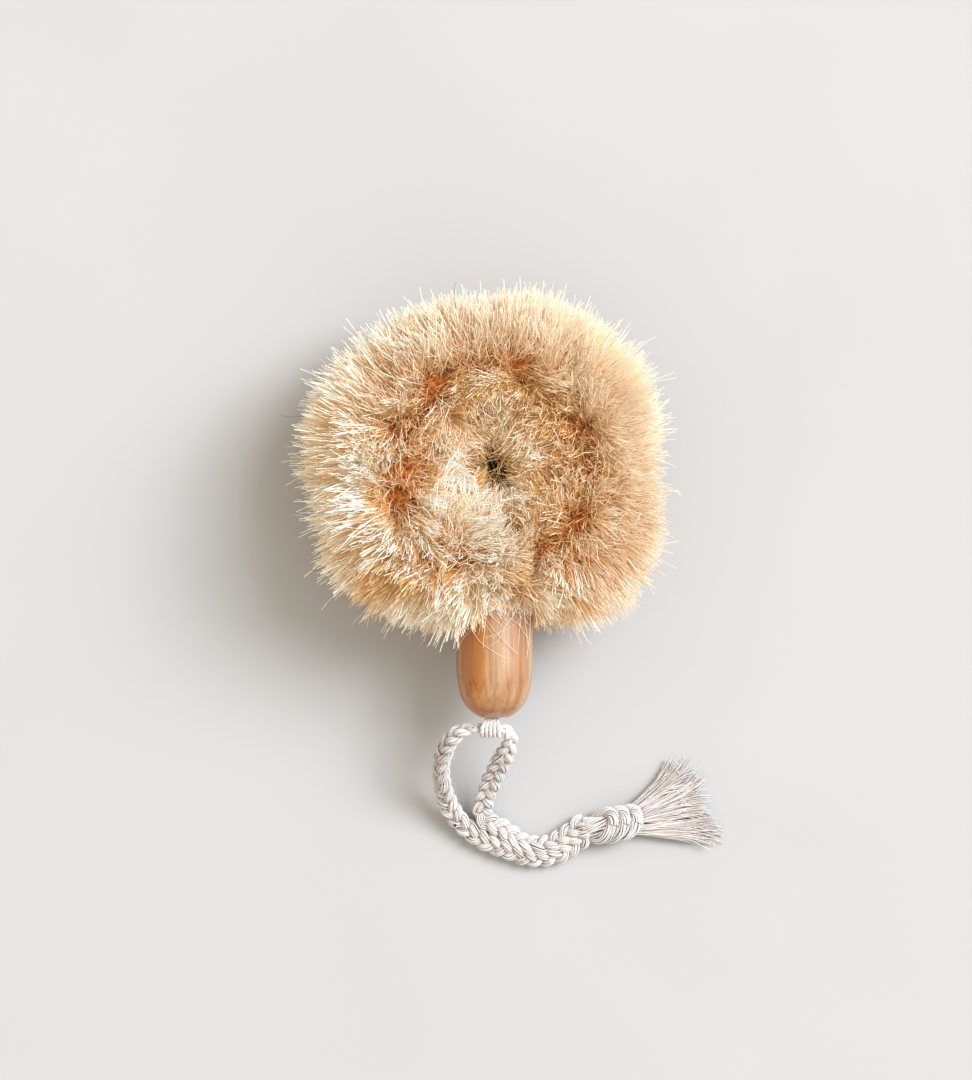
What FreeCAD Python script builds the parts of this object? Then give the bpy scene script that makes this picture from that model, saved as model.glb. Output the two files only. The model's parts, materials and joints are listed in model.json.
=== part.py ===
"""Body dry brush: a wire strip of plant fibre bent into a ring, a short turned handle, a cotton lanyard.

Millimetres, +Z up. The origin is the ring's centre on the plane that the brush rests on, bristles down.
+Y points from the handle to the head. The handle's axis lies in the YZ plane, level with the wire ring.
"""

import FreeCAD, Part
import math
import os

import Sketcher

V = FreeCAD.Vector
UP = V(0, 0, 1)
RIGHT = V(1, 0, 0)
FORWARD = V(0, 1, 0)

doc = FreeCAD.newDocument("body_dry_brush")
sheet = doc.addObject("Spreadsheet::Sheet", "sizes")

DRIVING = {
    # Bristle head: a ring of fibre held in a twisted wire core.
    "ring_radius": 35.0,
    "ring_height": 30.0,
    "bristle_reach": 31.5,
    "notch_top": 45.6,
    "notch_top_half": 15.2,
    "notch_foot": 75.0,
    "notch_foot_half": 26.0,
    # Core wires: two strands wound round each other, and the channel that the fibres leave for them.
    "wire_diameter": 1.6,
    "wire_gap": 0.1,
    "wire_pitch": 12.0,
    "channel_diameter": 4.0,
    "shoulder_radius": 10.0,
    "stem_offset": 2.1,
    "stem_end": 66.0,
    # Handle: turned wood with a domed butt, bored from both ends.
    "handle_diameter": 28.0,
    "handle_length": 45.0,
    "butt_reach": 91.6,
    "dome_radius": 12.8,
    "barrel_radius": 45.0,
    "barrel_start": 21.0,
    "rim_radius": 3.0,
    "stem_bore_diameter": 8.0,
    "stem_bore_depth": 22.0,
    "glue_depth": 3.0,
    "glue_clearance": 0.1,
    "cord_hole_diameter": 7.0,
    "cord_hole_depth": 14.0,
    "mouth_diameter": 10.0,
    "mouth_depth": 2.4,
    # Brad that holds the lanyard's anchor inside the handle.
    "brad_diameter": 1.2,
    "brad_length": 19.0,
    "brad_head_diameter": 2.0,
    "brad_head_height": 0.6,
    "brad_inset": 9.5,
    "brad_angle": 49.0,
    "brad_play": 0.05,
    # Lanyard: a braided cotton cord, its anchor of plain thread, its knot and its tassel.
    "cord_diameter": 6.4,
    "bight_diameter": 3.8,
    "hinge_play": 0.1,
    "anchor_thread": 1.45,
    "anchor_width": 7.6,
    "anchor_neck_diameter": 4.4,
    "anchor_shift": 1.5,
    "anchor_pivot_inset": 2.1,
    "bight_drop": 3.0,
    "knuckle_radius": 6.8,
    "knot_length": 18.6,
    "knot_width": 14.5,
    "knot_height": 11.2,
    "tassel_length": 29.5,
    "tassel_half_angle": 26.0,
    "tassel_thickness": 4.6,
    "tassel_start": 1.6,
    "neck_share": 0.9,
}

DERIVED = {
    "handle_radius": "=handle_diameter / 2",
    "channel_radius": "=channel_diameter / 2",
    "outer_reach": "=ring_radius + bristle_reach",
    "inner_reach": "=ring_radius - bristle_reach",
    "bristle_top": "=ring_height + bristle_reach",
    "foot_half": "=sqrt(bristle_reach^2 - ring_height^2)",
    "foot_outer": "=ring_radius + foot_half",
    "foot_inner": "=ring_radius - foot_half",
    "dome_centre": "=handle_radius - barrel_radius + sqrt((barrel_radius - dome_radius)^2"
    " - (barrel_start - dome_radius)^2)",
    "mouth_radius": "=mouth_diameter / 2",
    "mouth_edge": "=dome_radius - sqrt(dome_radius^2 - (mouth_radius - dome_centre)^2)",
    "cord_hole_radius": "=cord_hole_diameter / 2",
    "stem_bore_radius": "=stem_bore_diameter / 2",
    "barrel_share": "=barrel_radius / (barrel_radius - dome_radius)",
    "dome_end_radius": "=handle_radius - barrel_radius"
    " + (dome_centre - handle_radius + barrel_radius) * barrel_share",
    "dome_end_along": "=barrel_start + (dome_radius - barrel_start) * barrel_share",
    "rim_start": "=handle_length - rim_radius",
    "rim_inner": "=handle_radius - rim_radius",
    "stem_bore_floor": "=handle_length - stem_bore_depth",
    "shoulder_x": "=stem_offset + shoulder_radius",
    "shoulder_y": "=sqrt((ring_radius + shoulder_radius)^2 - shoulder_x^2)",
    "join_share": "=ring_radius / (ring_radius + shoulder_radius)",
    "join_x": "=shoulder_x * join_share",
    "join_y": "=shoulder_y * join_share",
    "cord_radius": "=cord_diameter / 2",
    "brad_radius": "=brad_diameter / 2",
    "brad_head_radius": "=brad_head_diameter / 2",
    "brad_shank_end": "=brad_length - brad_diameter",
    "glue_base": "=butt_reach - stem_bore_floor - glue_clearance",
    "glue_radius": "=stem_bore_radius - glue_clearance / 2",
    "glue_length": "=stem_bore_depth - glue_depth",
    "stem_way_radius": "=wire_diameter + wire_gap",
    "neck_radius": "=cord_radius * neck_share",
    "tassel_neck": "=neck_radius",
    "tassel_fan_x": "=tassel_length * sin(tassel_half_angle)",
    "tassel_fan_y": "=tassel_length * cos(tassel_half_angle)",
}

# Wires: curve points in one turn of the twist.
POINTS_PER_TURN = 12

# Anchor: the turns' spacing against the thread, how far they gather, where they leave the bight.
TURN_SPACING = 1.3
TURN_OVERLAP = 0.02
GATHER_SHARE = 0.2857
SHOULDER_ANGLE = math.radians(60)
THROAT_RISE = 0.8
ROOT_CLEARANCE = 1.0
NECK_SETBACK = 1.3

# Braids: sections in a loft, the legs' spacing and thickness, and how far each end stands off its knuckle.
TAIL_STATIONS = 8
TAIL_SPREAD = 1.04
TAIL_SLIM = 0.95
TAIL_SETBACK = 4.0
KNOT_SETBACK = 2.2
SQUEEZE_LENGTH = 4.0
SQUEEZE_DELAY = 0.8
LOOP_STATIONS = 40

# Knot: the turn of cord that stands proud of it, as shares of the cord's radius, and its lean.
WRAP_SINK = 0.86
WRAP_THICKNESS = 0.8
WRAP_TURN = 28.0
KNOT_TURN_SHARE = 0.4

# Centre lines of the lanyard as it lies: the loop's legs come down from the butt to the floor.
LEFT_LEG = [(-9.0, -94.7, 29.6), (-13.2, -96.4, 28.2), (-17.0, -101.0, 24.6), (-19.3, -108.0, 19.0),
            (-19.0, -114.5, 14.2), (-17.2, -121.0, 9.6), (-14.4, -127.6, 6.0), (-9.4, -133.2, 4.0),
            (-3.6, -137.2, 3.4)]
RIGHT_LEG = [(5.4, -95.6, 29.2), (6.0, -99.2, 26.2), (3.6, -105.0, 21.0), (0.2, -111.6, 15.4),
             (-2.8, -118.0, 10.6), (-4.2, -123.6, 6.8), (-2.6, -129.0, 4.2)]
TAIL = [(8.6, -138.4, 3.4), (15.1, -139.8, 3.4), (22.5, -138.8, 3.4), (28.6, -135.4, 3.5)]
JOIN = V(2.6, -135.8, 3.4)
KNOT_PIVOT = V(34.2, -132.0, 4.4)
KNOT_CENTRE = V(42.6, -129.4, 5.8)
TASSEL_PIVOT = V(53.0, -129.8, 4.6)
LEG_SPLIT = V(0.4, 3.4, 0)
TAIL_OUT = V(0.92, -0.39, 0).normalize()
KNOT_OUT = V(0.9, 0.44, 0).normalize()
TASSEL_OUT = V(0.94, 0.34, 0).normalize()


def fill_sheet():
    """Write the driving sizes as plain numbers and the derived ones as formulas, each with its alias."""
    cells = [(name, str(value)) for name, value in DRIVING.items()] + list(DERIVED.items())
    for row, (name, text) in enumerate(cells, start=1):
        sheet.set(f"A{row}", name)
        sheet.set(f"B{row}", text)
        sheet.setAlias(f"B{row}", name)
    doc.recompute()


def size(name):
    """A size from the sheet as a plain number; a leading minus sign gives its negative."""
    if name.startswith("-"):
        return -size(name[1:])
    return 0.0 if name == "0" else float(sheet.get(name))


def bind(obj, prop, expression):
    """Bind a property to the sheet; every word in the expression is an alias."""
    words = [f"sizes.{w}" if w in DRIVING or w in DERIVED else w for w in expression.split()]
    obj.setExpression(prop, " ".join(words))


def origin_plane(body, role):
    return next(item for item in body.Origin.OriginFeatures if item.Role == role)


def new_body(name):
    body = doc.addObject("PartDesign::Body", name)
    body.Label = name
    return body


def new_sketch(body, name, role, lift=None):
    """A sketch on one of the body's own origin planes, raised off it by a size from the sheet."""
    sketch = body.newObject("Sketcher::SketchObject", name)
    sketch.AttachmentSupport = [(origin_plane(body, role), "")]
    sketch.MapMode = "FlatFace"
    if lift:
        bind(sketch, "AttachmentOffset.Base.z", lift)
    return sketch


def arc_side(start, end, radius, turn):
    """The arc from start to end: turn +1 runs counter-clockwise, -1 clockwise; the short way round."""
    middle = (start + end) * 0.5
    chord = end - start
    rise = math.sqrt(max(radius**2 - (chord.Length / 2) ** 2, 0.0))
    side = V(-chord.y, chord.x, 0).normalize() * (rise * turn)
    centre = middle + side
    first, last = (start, end) if turn > 0 else (end, start)
    angles = [math.atan2(p.y - centre.y, p.x - centre.x) for p in (first, last)]
    return Part.ArcOfCircle(Part.Circle(centre, UP, radius), *angles)


def pin_vertex(sketch, index, position, corner):
    """Hold one end of a side at a corner whose coordinates are sizes from the sheet."""
    for kind, axis, name in (("DistanceX", -2, corner[0]), ("DistanceY", -1, corner[1])):
        if name == "0":
            sketch.addConstraint(Sketcher.Constraint("PointOnObject", index, position, axis))
            continue
        number = sketch.addConstraint(
            Sketcher.Constraint(kind, -1, 1, index, position, size(name))
        )
        bind(sketch, f"Constraints[{number}]", name.replace("-", "- "))


def outline(sketch, corners, bends=None, closed=True):
    """Draw sides through the corners; bends maps a side's number to (radius name, turn) where it is an arc."""
    bends = bends or {}
    points = [V(size(x), size(y), 0) for x, y in corners]
    count = len(points) if closed else len(points) - 1
    ends = []
    for number in range(count):
        start, end = points[number], points[(number + 1) % len(points)]
        if number in bends:
            name, turn = bends[number]
            index = sketch.addGeometry(arc_side(start, end, size(name), turn))
            radius = sketch.addConstraint(Sketcher.Constraint("Radius", index, size(name)))
            bind(sketch, f"Constraints[{radius}]", name)
            ends.append((index, 1, 2) if turn > 0 else (index, 2, 1))
        else:
            index = sketch.addGeometry(Part.LineSegment(start, end))
            ends.append((index, 1, 2))
        pin_vertex(sketch, ends[-1][0], ends[-1][1], corners[number])
    for number in range(count if closed else count - 1):
        here, after = ends[number], ends[(number + 1) % count]
        sketch.addConstraint(Sketcher.Constraint("Coincident", here[0], here[2], after[0], after[1]))
    if not closed:
        pin_vertex(sketch, ends[-1][0], ends[-1][2], corners[-1])


def bound_circle(sketch, radius, x="0", y="0"):
    """A circle whose centre and radius are sizes from the sheet."""
    index = sketch.addGeometry(Part.Circle(V(size(x), size(y), 0), UP, size(radius)))
    number = sketch.addConstraint(Sketcher.Constraint("Radius", index, size(radius)))
    bind(sketch, f"Constraints[{number}]", radius)
    pin_vertex(sketch, index, 3, (x, y))


def cut_volume(body, feature):
    """Recompute and make sure that a subtractive feature took something away."""
    before = feature.BaseFeature.Shape.Volume
    doc.recompute()
    if not body.Shape.Volume < before - 1e-3:
        raise RuntimeError(f"{feature.Name} cut nothing")


def make_bristle_ring():
    """The fibres as one ring with a flat foot, a channel for the wires and a notch for the handle."""
    body = new_body("bristle_ring")
    section = new_sketch(body, "bristle_section", "XZ_Plane")
    corners = [("foot_inner", "0"), ("foot_outer", "0"), ("outer_reach", "ring_height"),
               ("ring_radius", "bristle_top"), ("inner_reach", "ring_height")]
    outline(section, corners, {side: ("bristle_reach", 1) for side in (1, 2, 3, 4)})
    ring = body.newObject("PartDesign::Revolution", "bristle_sweep")
    ring.Profile = section
    ring.ReferenceAxis = (section, ["V_Axis"])
    ring.Angle = 360.0
    doc.recompute()

    gap = new_sketch(body, "notch_plan", "XY_Plane")
    outline(gap, [("notch_top_half", "-notch_top"), ("-notch_top_half", "-notch_top"),
                  ("-notch_foot_half", "-notch_foot"), ("notch_foot_half", "-notch_foot")])
    notch = body.newObject("PartDesign::Pocket", "handle_notch")
    notch.Profile = gap
    notch.Type = "ThroughAll"
    notch.Reversed = True
    cut_volume(body, notch)

    path = new_sketch(body, "wire_path", "XY_Plane", "ring_height")
    wire_outline(path)
    mouth = new_sketch(body, "channel_section", "XZ_Plane", "stem_end")
    bound_circle(mouth, "channel_radius", "stem_offset", "ring_height")
    channel = body.newObject("PartDesign::SubtractivePipe", "wire_channel")
    channel.Profile = mouth
    channel.Spine = path
    cut_volume(body, channel)
    return body


def wire_outline(sketch):
    """The wires' centre line: up one stem, round a shoulder, round the ring and down the other stem."""
    stem = ("stem_offset", "-stem_end"), ("stem_offset", "-shoulder_y"), ("join_x", "-join_y")
    far = ("0", "ring_radius")
    back = tuple(("-" + x, y) for x, y in reversed(stem))
    shoulder, half = ("shoulder_radius", -1), ("ring_radius", 1)
    outline(sketch, [*stem, far, *back], {1: shoulder, 2: half, 3: half, 4: shoulder}, False)


def make_handle():
    """The turned handle: domed butt, barrel side and rounded rim, bored for the stems and for the cord."""
    body = new_body("handle")
    profile = new_sketch(body, "handle_profile", "XY_Plane")
    corners = [("0", "cord_hole_depth"), ("cord_hole_radius", "cord_hole_depth"),
               ("cord_hole_radius", "mouth_depth"), ("mouth_radius", "mouth_edge"),
               ("dome_end_radius", "dome_end_along"), ("handle_radius", "barrel_start"),
               ("handle_radius", "rim_start"), ("rim_inner", "handle_length"),
               ("stem_bore_radius", "handle_length"), ("stem_bore_radius", "stem_bore_floor"),
               ("0", "stem_bore_floor")]
    outline(profile, corners, {3: ("dome_radius", 1), 4: ("barrel_radius", 1), 6: ("rim_radius", 1)})
    turned = body.newObject("PartDesign::Revolution", "handle_turning")
    turned.Profile = profile
    turned.ReferenceAxis = (profile, ["V_Axis"])
    turned.Angle = 360.0
    doc.recompute()

    hole = body.newObject("PartDesign::SubtractiveCylinder", "brad_hole")
    bind(hole, "Radius", "brad_radius + brad_play / 2")
    bind(hole, "Height", "brad_length + brad_play")
    hole.Placement = brad_placement("handle")
    cut_volume(body, hole)
    recess = body.newObject("PartDesign::SubtractiveCylinder", "brad_recess")
    bind(recess, "Radius", "brad_head_radius + brad_play / 2")
    bind(recess, "Height", "brad_head_height + brad_play")
    recess.Placement = brad_placement("handle")
    cut_volume(body, recess)
    place(body, V(0, -size("butt_reach"), size("ring_height")))
    return body


def place(obj, base, rotation=None):
    obj.Placement = FreeCAD.Placement(base, rotation or FreeCAD.Rotation())


def brad_placement(frame):
    """The brad's own axis points inward through the handle's side; frame says whose coordinates it is in."""
    angle = math.radians(size("brad_angle"))
    outward = V(-math.sin(angle), 0, math.cos(angle))
    inset = size("brad_inset")
    surface = size("handle_radius") - size("barrel_radius") + math.sqrt(
        size("barrel_radius") ** 2 - (size("barrel_start") - inset) ** 2
    )
    head_seat = outward * (surface - size("brad_head_height") * 0.5) + FORWARD * inset
    if frame == "row":
        head_seat += V(0, -size("butt_reach"), size("ring_height"))
    return FreeCAD.Placement(head_seat, FreeCAD.Rotation(UP, -outward))


def make_stem_glue():
    """Set glue that fills the stem bore round the two twisted stems and holds them in the wood."""
    body = new_body("stem_glue")
    plug_plan = new_sketch(body, "glue_plan", "XZ_Plane", "glue_base")
    bound_circle(plug_plan, "glue_radius")
    plug = body.newObject("PartDesign::Pad", "glue_plug")
    plug.Profile = plug_plan
    bind(plug, "Length", "glue_length")
    plug.Reversed = True
    doc.recompute()
    for name, across in (("right_stem_way", "stem_offset"), ("left_stem_way", "-stem_offset")):
        plan = new_sketch(body, name + "_plan", "XZ_Plane", "glue_base")
        bound_circle(plan, "stem_way_radius", across)
        way = body.newObject("PartDesign::Pocket", name)
        way.Profile = plan
        way.Type = "ThroughAll"
        cut_volume(body, way)
    place(body, V(0, 0, size("ring_height")))
    return body


def make_cord_brad():
    """The small round-headed brad driven through the handle's side, across the cord hole."""
    body = new_body("cord_brad")
    profile = new_sketch(body, "brad_profile", "XZ_Plane")
    corners = [("0", "0"), ("brad_head_radius", "0"), ("brad_head_radius", "brad_head_height"),
               ("brad_radius", "brad_head_height"), ("brad_radius", "brad_shank_end"),
               ("0", "brad_length")]
    outline(profile, corners)
    brad = body.newObject("PartDesign::Revolution", "brad_turning")
    brad.Profile = profile
    brad.ReferenceAxis = (profile, ["V_Axis"])
    brad.Angle = 360.0
    body.Placement = brad_placement("row")
    return body


def feature(name, shape):
    """A sub-part whose shape comes straight from geometry functions."""
    node = doc.addObject("Part::Feature", name)
    node.Label = name
    node.Shape = shape
    node.Placement = FreeCAD.Placement()
    return node


def wire_point(along):
    """Centre line point and outward direction of the wire core at a length measured from its first end."""
    ring, shoulder = size("ring_radius"), size("shoulder_radius")
    sweep = math.asin(size("shoulder_x") / (ring + shoulder))
    straight = size("stem_end") - size("shoulder_y")
    bend = shoulder * (math.pi / 2 - sweep)
    half = straight + bend + ring * (math.pi - sweep)
    mirror = along > half
    run = 2 * half - along if mirror else along
    if run < straight:
        x, y, turn = size("stem_offset"), run - size("stem_end"), math.pi / 2
    elif run < straight + bend:
        turned = (run - straight) / shoulder
        x = size("shoulder_x") - shoulder * math.cos(turned)
        y = shoulder * math.sin(turned) - size("shoulder_y")
        turn = math.pi / 2 - turned
    else:
        angle = (run - straight - bend) / ring + sweep - math.pi / 2
        x, y, turn = ring * math.cos(angle), ring * math.sin(angle), angle + math.pi / 2
    normal = V(math.sin(turn), -math.cos(turn), 0)
    if mirror:
        return V(-x, y, size("ring_height")), V(-normal.x, normal.y, 0)
    return V(x, y, size("ring_height")), normal


def wire_length():
    ring, shoulder = size("ring_radius"), size("shoulder_radius")
    sweep = math.asin(size("shoulder_x") / (ring + shoulder))
    straight = size("stem_end") - size("shoulder_y")
    return 2 * (straight + shoulder * (math.pi / 2 - sweep) + ring * (math.pi - sweep))


def make_core_wire(name, phase):
    """One strand of the twisted core: a round wire wound round the common centre line."""
    length, orbit = wire_length(), (size("wire_diameter") + size("wire_gap")) / 2
    steps = round(length / size("wire_pitch") * POINTS_PER_TURN)
    points = []
    for step in range(steps + 1):
        centre, outward = wire_point(length * step / steps)
        angle = phase + 2 * math.pi * length * step / steps / size("wire_pitch")
        points.append(centre + outward * (orbit * math.cos(angle)) + UP * (orbit * math.sin(angle)))
    return feature(name, wire_strand(points, size("wire_diameter") / 2))


def smooth_curve(points):
    curve = Part.BSplineCurve()
    curve.interpolate(points)
    return curve


def wire_strand(points, radius):
    """A round wire swept along a smooth curve through the points."""
    curve = smooth_curve(points)
    start = curve.FirstParameter
    ring = Part.makeCircle(radius, curve.value(start), curve.tangent(start)[0])
    return Part.Wire([curve.toShape()]).makePipeShell([Part.Wire([ring])], True, False)


def cord(points, radius_at, stations):
    """A soft round cord lofted along a smooth curve; radius_at gives its radius at a point of the curve."""
    curve = smooth_curve(points)
    first, last = curve.FirstParameter, curve.LastParameter
    rings = []
    for number in range(stations + 1):
        parameter = first + (last - first) * number / stations
        centre = curve.value(parameter)
        ring = Part.makeCircle(radius_at(centre), centre, curve.tangent(parameter)[0])
        rings.append(Part.Wire([ring]))
    return Part.makeLoft(rings, True, False)


def make_cord_root(pivot):
    """The anchor thread inside the handle: it passes round the brad and ends in a round knuckle."""
    inner = pivot + FORWARD * (size("cord_hole_depth") - size("anchor_pivot_inset") - ROOT_CLEARANCE)
    neck = Part.makeCylinder(size("anchor_neck_diameter") / 2, (inner - pivot).Length, pivot, FORWARD)
    knuckle = Part.makeSphere(size("anchor_neck_diameter") / 2, pivot)
    hole = Part.makeCylinder(size("brad_radius") + size("hinge_play"), 3 * size("handle_radius"))
    hole.Placement = brad_placement("row")
    return feature("cord_root", neck.fuse(knuckle).cut(hole).removeSplitter())


def make_cord_anchor(pivot, bight):
    """The wound thread outside the handle: turns side by side round the braid, gathered at the mouth."""
    thread, width = size("anchor_thread"), size("anchor_width")
    inner = size("bight_diameter") / 2 + 2 * size("hinge_play")
    count = round(width / (thread * TURN_SPACING))
    pitch = (width - thread) / (count - 1)
    left = bight.x - width / 2 + thread / 2
    wound = inner + thread / 2
    solid = None
    for turn in range(count):
        centre = V(left + turn * pitch, bight.y, bight.z)
        ring = Part.makeTorus(wound, thread / 2 + TURN_OVERLAP, centre, RIGHT)
        gather = V(centre.x * GATHER_SHARE, pivot.y - NECK_SETBACK, pivot.z)
        for side in (1, -1):
            rise = UP * (side * wound * math.sin(SHOULDER_ANGLE))
            shoulder = centre + FORWARD * (wound * math.cos(SHOULDER_ANGLE)) + rise
            run = gather + UP * (side * THROAT_RISE) - shoulder
            ring = ring.fuse(Part.makeCylinder(thread / 2, run.Length, shoulder, run))
        solid = ring if solid is None else solid.fuse(ring)
    solid = solid.cut(Part.makeSphere(size("anchor_neck_diameter") / 2 + size("hinge_play"), pivot))
    solid = solid.cut(Part.makeCylinder(inner, width * 2, bight - RIGHT * width, RIGHT))
    return feature("cord_anchor", solid.removeSplitter())


def socket(shape, pivot, axis, radius, facing, setback):
    """Hollow one end of a moving cord so that it turns round its neighbour's round knuckle.

    The knuckle is a cylinder along the axis. Nothing is left behind the plane that lies setback in front
    of the pivot, so that the cord can bend without touching its neighbour.
    """
    play, reach = size("hinge_play"), 3 * radius
    shape = shape.cut(Part.makeCylinder(radius + play, 2 * reach, pivot - axis * reach, axis))
    return shape.cut(Part.makeCylinder(reach, reach, pivot + facing * (setback - reach), facing))


def make_cord_loop(bight, join):
    """The braided loop: it passes through the anchor's turns, and its legs meet in the join on the floor."""
    full, slim = size("cord_radius"), size("bight_diameter") / 2
    bar = RIGHT * (size("anchor_width") / 2 + size("hinge_play"))
    left, right = [[V(*p) for p in leg] for leg in (LEFT_LEG, RIGHT_LEG)]
    points = [join - LEG_SPLIT] + left[::-1] + [bight - bar, bight, bight + bar] + right
    points.append(join + LEG_SPLIT)

    def radius_at(point):
        past_bar = (point - bight).Length - bar.Length - SQUEEZE_DELAY
        share = min(max(past_bar / SQUEEZE_LENGTH, 0.0), 1.0)
        return slim + (full - slim) * share * share * (3 - 2 * share)

    loop = cord(points, radius_at, LOOP_STATIONS)
    lump = Part.makeCylinder(size("knuckle_radius"), 2 * full, join - UP * full, UP)
    return feature("cord_loop", loop.fuse(lump).removeSplitter())


def make_cord_tail(name, side, join, knot_pivot):
    """One of the two braids that run side by side from the join to the knot; side is +1 for the inner one."""
    radius = size("cord_radius") * TAIL_SLIM
    spine = smooth_curve([join + TAIL_OUT] + [V(*p) for p in TAIL] + [knot_pivot])
    first, last = spine.FirstParameter, spine.LastParameter
    points = []
    for station in range(TAIL_STATIONS + 1):
        parameter = first + (last - first) * station / TAIL_STATIONS
        across = UP.cross(spine.tangent(parameter)[0]).normalize()
        points.append(spine.value(parameter) + across * (side * radius * TAIL_SPREAD))
    across = UP.cross(KNOT_OUT).normalize() * side
    inner_face = knot_pivot + across * (radius * (TAIL_SPREAD - 1))
    knuckle = Part.makeCylinder(radius, 2 * radius, inner_face, across)
    solid = cord(points, lambda point: radius, 2 * TAIL_STATIONS).fuse(knuckle)
    solid = socket(solid, join, UP, size("knuckle_radius"), TAIL_OUT, TAIL_SETBACK)
    return feature(name, solid.removeSplitter())


def make_cord_knot(knot_pivot, centre, tassel_pivot):
    """The overhand knot as a rounded lump with one turn of cord standing proud across it."""
    body = Part.makeSphere(1.0)
    stretch = FreeCAD.Matrix()
    stretch.scale(size("knot_length") / 2, size("knot_width") / 2, size("knot_height") / 2)
    body = body.transformGeometry(stretch)
    thick = size("cord_radius") * WRAP_THICKNESS
    wrap = Part.makeTorus(size("knot_width") / 2 - size("cord_radius") * WRAP_SINK, thick, V(), RIGHT)
    wrap.rotate(V(), UP, WRAP_TURN)
    squash = FreeCAD.Matrix()
    squash.scale(1.0, 1.0, size("knot_height") / size("knot_width"))
    body = body.fuse(wrap.transformGeometry(squash))
    body.rotate(V(), UP, math.degrees(math.atan2(KNOT_OUT.y, KNOT_OUT.x)) * KNOT_TURN_SHARE)
    body.translate(centre)
    across = UP.cross(KNOT_OUT).normalize()
    neck_radius, run = size("neck_radius"), tassel_pivot - centre
    neck = Part.makeCylinder(neck_radius, run.Length, centre, run)
    body = body.fuse([neck, Part.makeSphere(neck_radius, tassel_pivot)])
    body = socket(body, knot_pivot, across, size("cord_radius") * TAIL_SLIM, KNOT_OUT, KNOT_SETBACK)
    return feature("cord_knot", body.removeSplitter())


def make_cord_tassel(pivot):
    """The frayed ends of both braids, fanned out flat on the floor."""
    body = new_body("cord_tassel")
    plan = new_sketch(body, "tassel_plan", "XY_Plane")
    outline(plan, [("tassel_neck", "tassel_start"), ("tassel_fan_x", "tassel_fan_y"),
                   ("-tassel_fan_x", "tassel_fan_y"), ("-tassel_neck", "tassel_start")],
            {1: ("tassel_length", 1)})
    fan = body.newObject("PartDesign::Pad", "tassel_fan")
    fan.Profile = plan
    bind(fan, "Length", "tassel_thickness")
    fan.Midplane = True
    doc.recompute()
    ball = body.newObject("PartDesign::SubtractiveSphere", "tassel_socket")
    bind(ball, "Radius", "neck_radius + hinge_play")
    cut_volume(body, ball)
    turn = math.degrees(math.atan2(TASSEL_OUT.y, TASSEL_OUT.x)) - 90.0
    place(body, pivot, FreeCAD.Rotation(UP, turn))
    return body


def check_document(nodes):
    """Stop unless every object recomputed cleanly and every sub-part is one valid shape."""
    for obj in doc.Objects:
        if {"Invalid", "Error"} & set(obj.State):
            raise RuntimeError(f"{obj.Name} did not recompute: {obj.State}")
    for node in nodes:
        if node.Shape.isNull() or not node.Shape.isValid():
            raise RuntimeError(f"{node.Label} has no valid shape")


fill_sheet()
pivot = V(0, size("anchor_pivot_inset") - size("butt_reach"), size("ring_height"))
bight = V(-size("anchor_shift"), -size("butt_reach") - size("bight_drop"), size("ring_height"))
nodes = [make_bristle_ring(), make_handle(), make_stem_glue(), make_cord_brad(),
         make_core_wire("core_wire_a", 0.0), make_core_wire("core_wire_b", math.pi),
         make_cord_root(pivot), make_cord_anchor(pivot, bight), make_cord_loop(bight, JOIN),
         make_cord_tail("cord_tail_inner", 1, JOIN, KNOT_PIVOT),
         make_cord_tail("cord_tail_outer", -1, JOIN, KNOT_PIVOT),
         make_cord_knot(KNOT_PIVOT, KNOT_CENTRE, TASSEL_PIVOT), make_cord_tassel(TASSEL_PIVOT)]
doc.recompute()
check_document(nodes)
os.makedirs("parts", exist_ok=True)
for node in nodes:
    node.Shape.exportStep(f"parts/{node.Label}.step")
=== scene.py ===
"""Looks of the body dry brush: plant fibre on a twisted wire ring, a turned handle and a cotton lanyard.

Lengths are in metres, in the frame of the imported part; MM turns millimetres into metres.
"""

import json
import math

import bpy
import numpy as np
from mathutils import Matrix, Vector, kdtree


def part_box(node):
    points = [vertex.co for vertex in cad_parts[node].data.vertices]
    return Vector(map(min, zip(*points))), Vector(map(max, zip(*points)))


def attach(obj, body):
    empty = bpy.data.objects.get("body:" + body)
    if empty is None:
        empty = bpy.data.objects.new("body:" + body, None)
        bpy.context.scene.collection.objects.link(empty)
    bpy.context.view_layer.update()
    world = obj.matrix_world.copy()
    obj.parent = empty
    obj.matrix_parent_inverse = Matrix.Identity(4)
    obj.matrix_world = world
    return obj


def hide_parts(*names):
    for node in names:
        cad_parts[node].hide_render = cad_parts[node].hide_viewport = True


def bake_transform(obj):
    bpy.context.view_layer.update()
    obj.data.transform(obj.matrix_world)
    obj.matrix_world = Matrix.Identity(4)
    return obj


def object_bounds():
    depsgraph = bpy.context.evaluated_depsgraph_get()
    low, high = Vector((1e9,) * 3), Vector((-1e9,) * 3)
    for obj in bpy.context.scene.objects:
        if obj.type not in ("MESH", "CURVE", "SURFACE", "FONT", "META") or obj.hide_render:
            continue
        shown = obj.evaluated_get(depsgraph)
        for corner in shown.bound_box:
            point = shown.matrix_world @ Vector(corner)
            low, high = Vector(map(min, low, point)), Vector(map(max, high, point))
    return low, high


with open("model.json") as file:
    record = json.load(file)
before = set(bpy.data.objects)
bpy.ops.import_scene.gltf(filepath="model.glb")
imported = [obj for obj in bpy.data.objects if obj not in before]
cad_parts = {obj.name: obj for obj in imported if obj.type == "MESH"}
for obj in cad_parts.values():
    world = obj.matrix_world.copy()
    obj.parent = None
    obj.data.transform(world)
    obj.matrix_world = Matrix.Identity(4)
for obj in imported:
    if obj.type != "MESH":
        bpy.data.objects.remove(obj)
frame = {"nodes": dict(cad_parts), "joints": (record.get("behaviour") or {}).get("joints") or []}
CAD_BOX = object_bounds()
MM = 0.001
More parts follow.
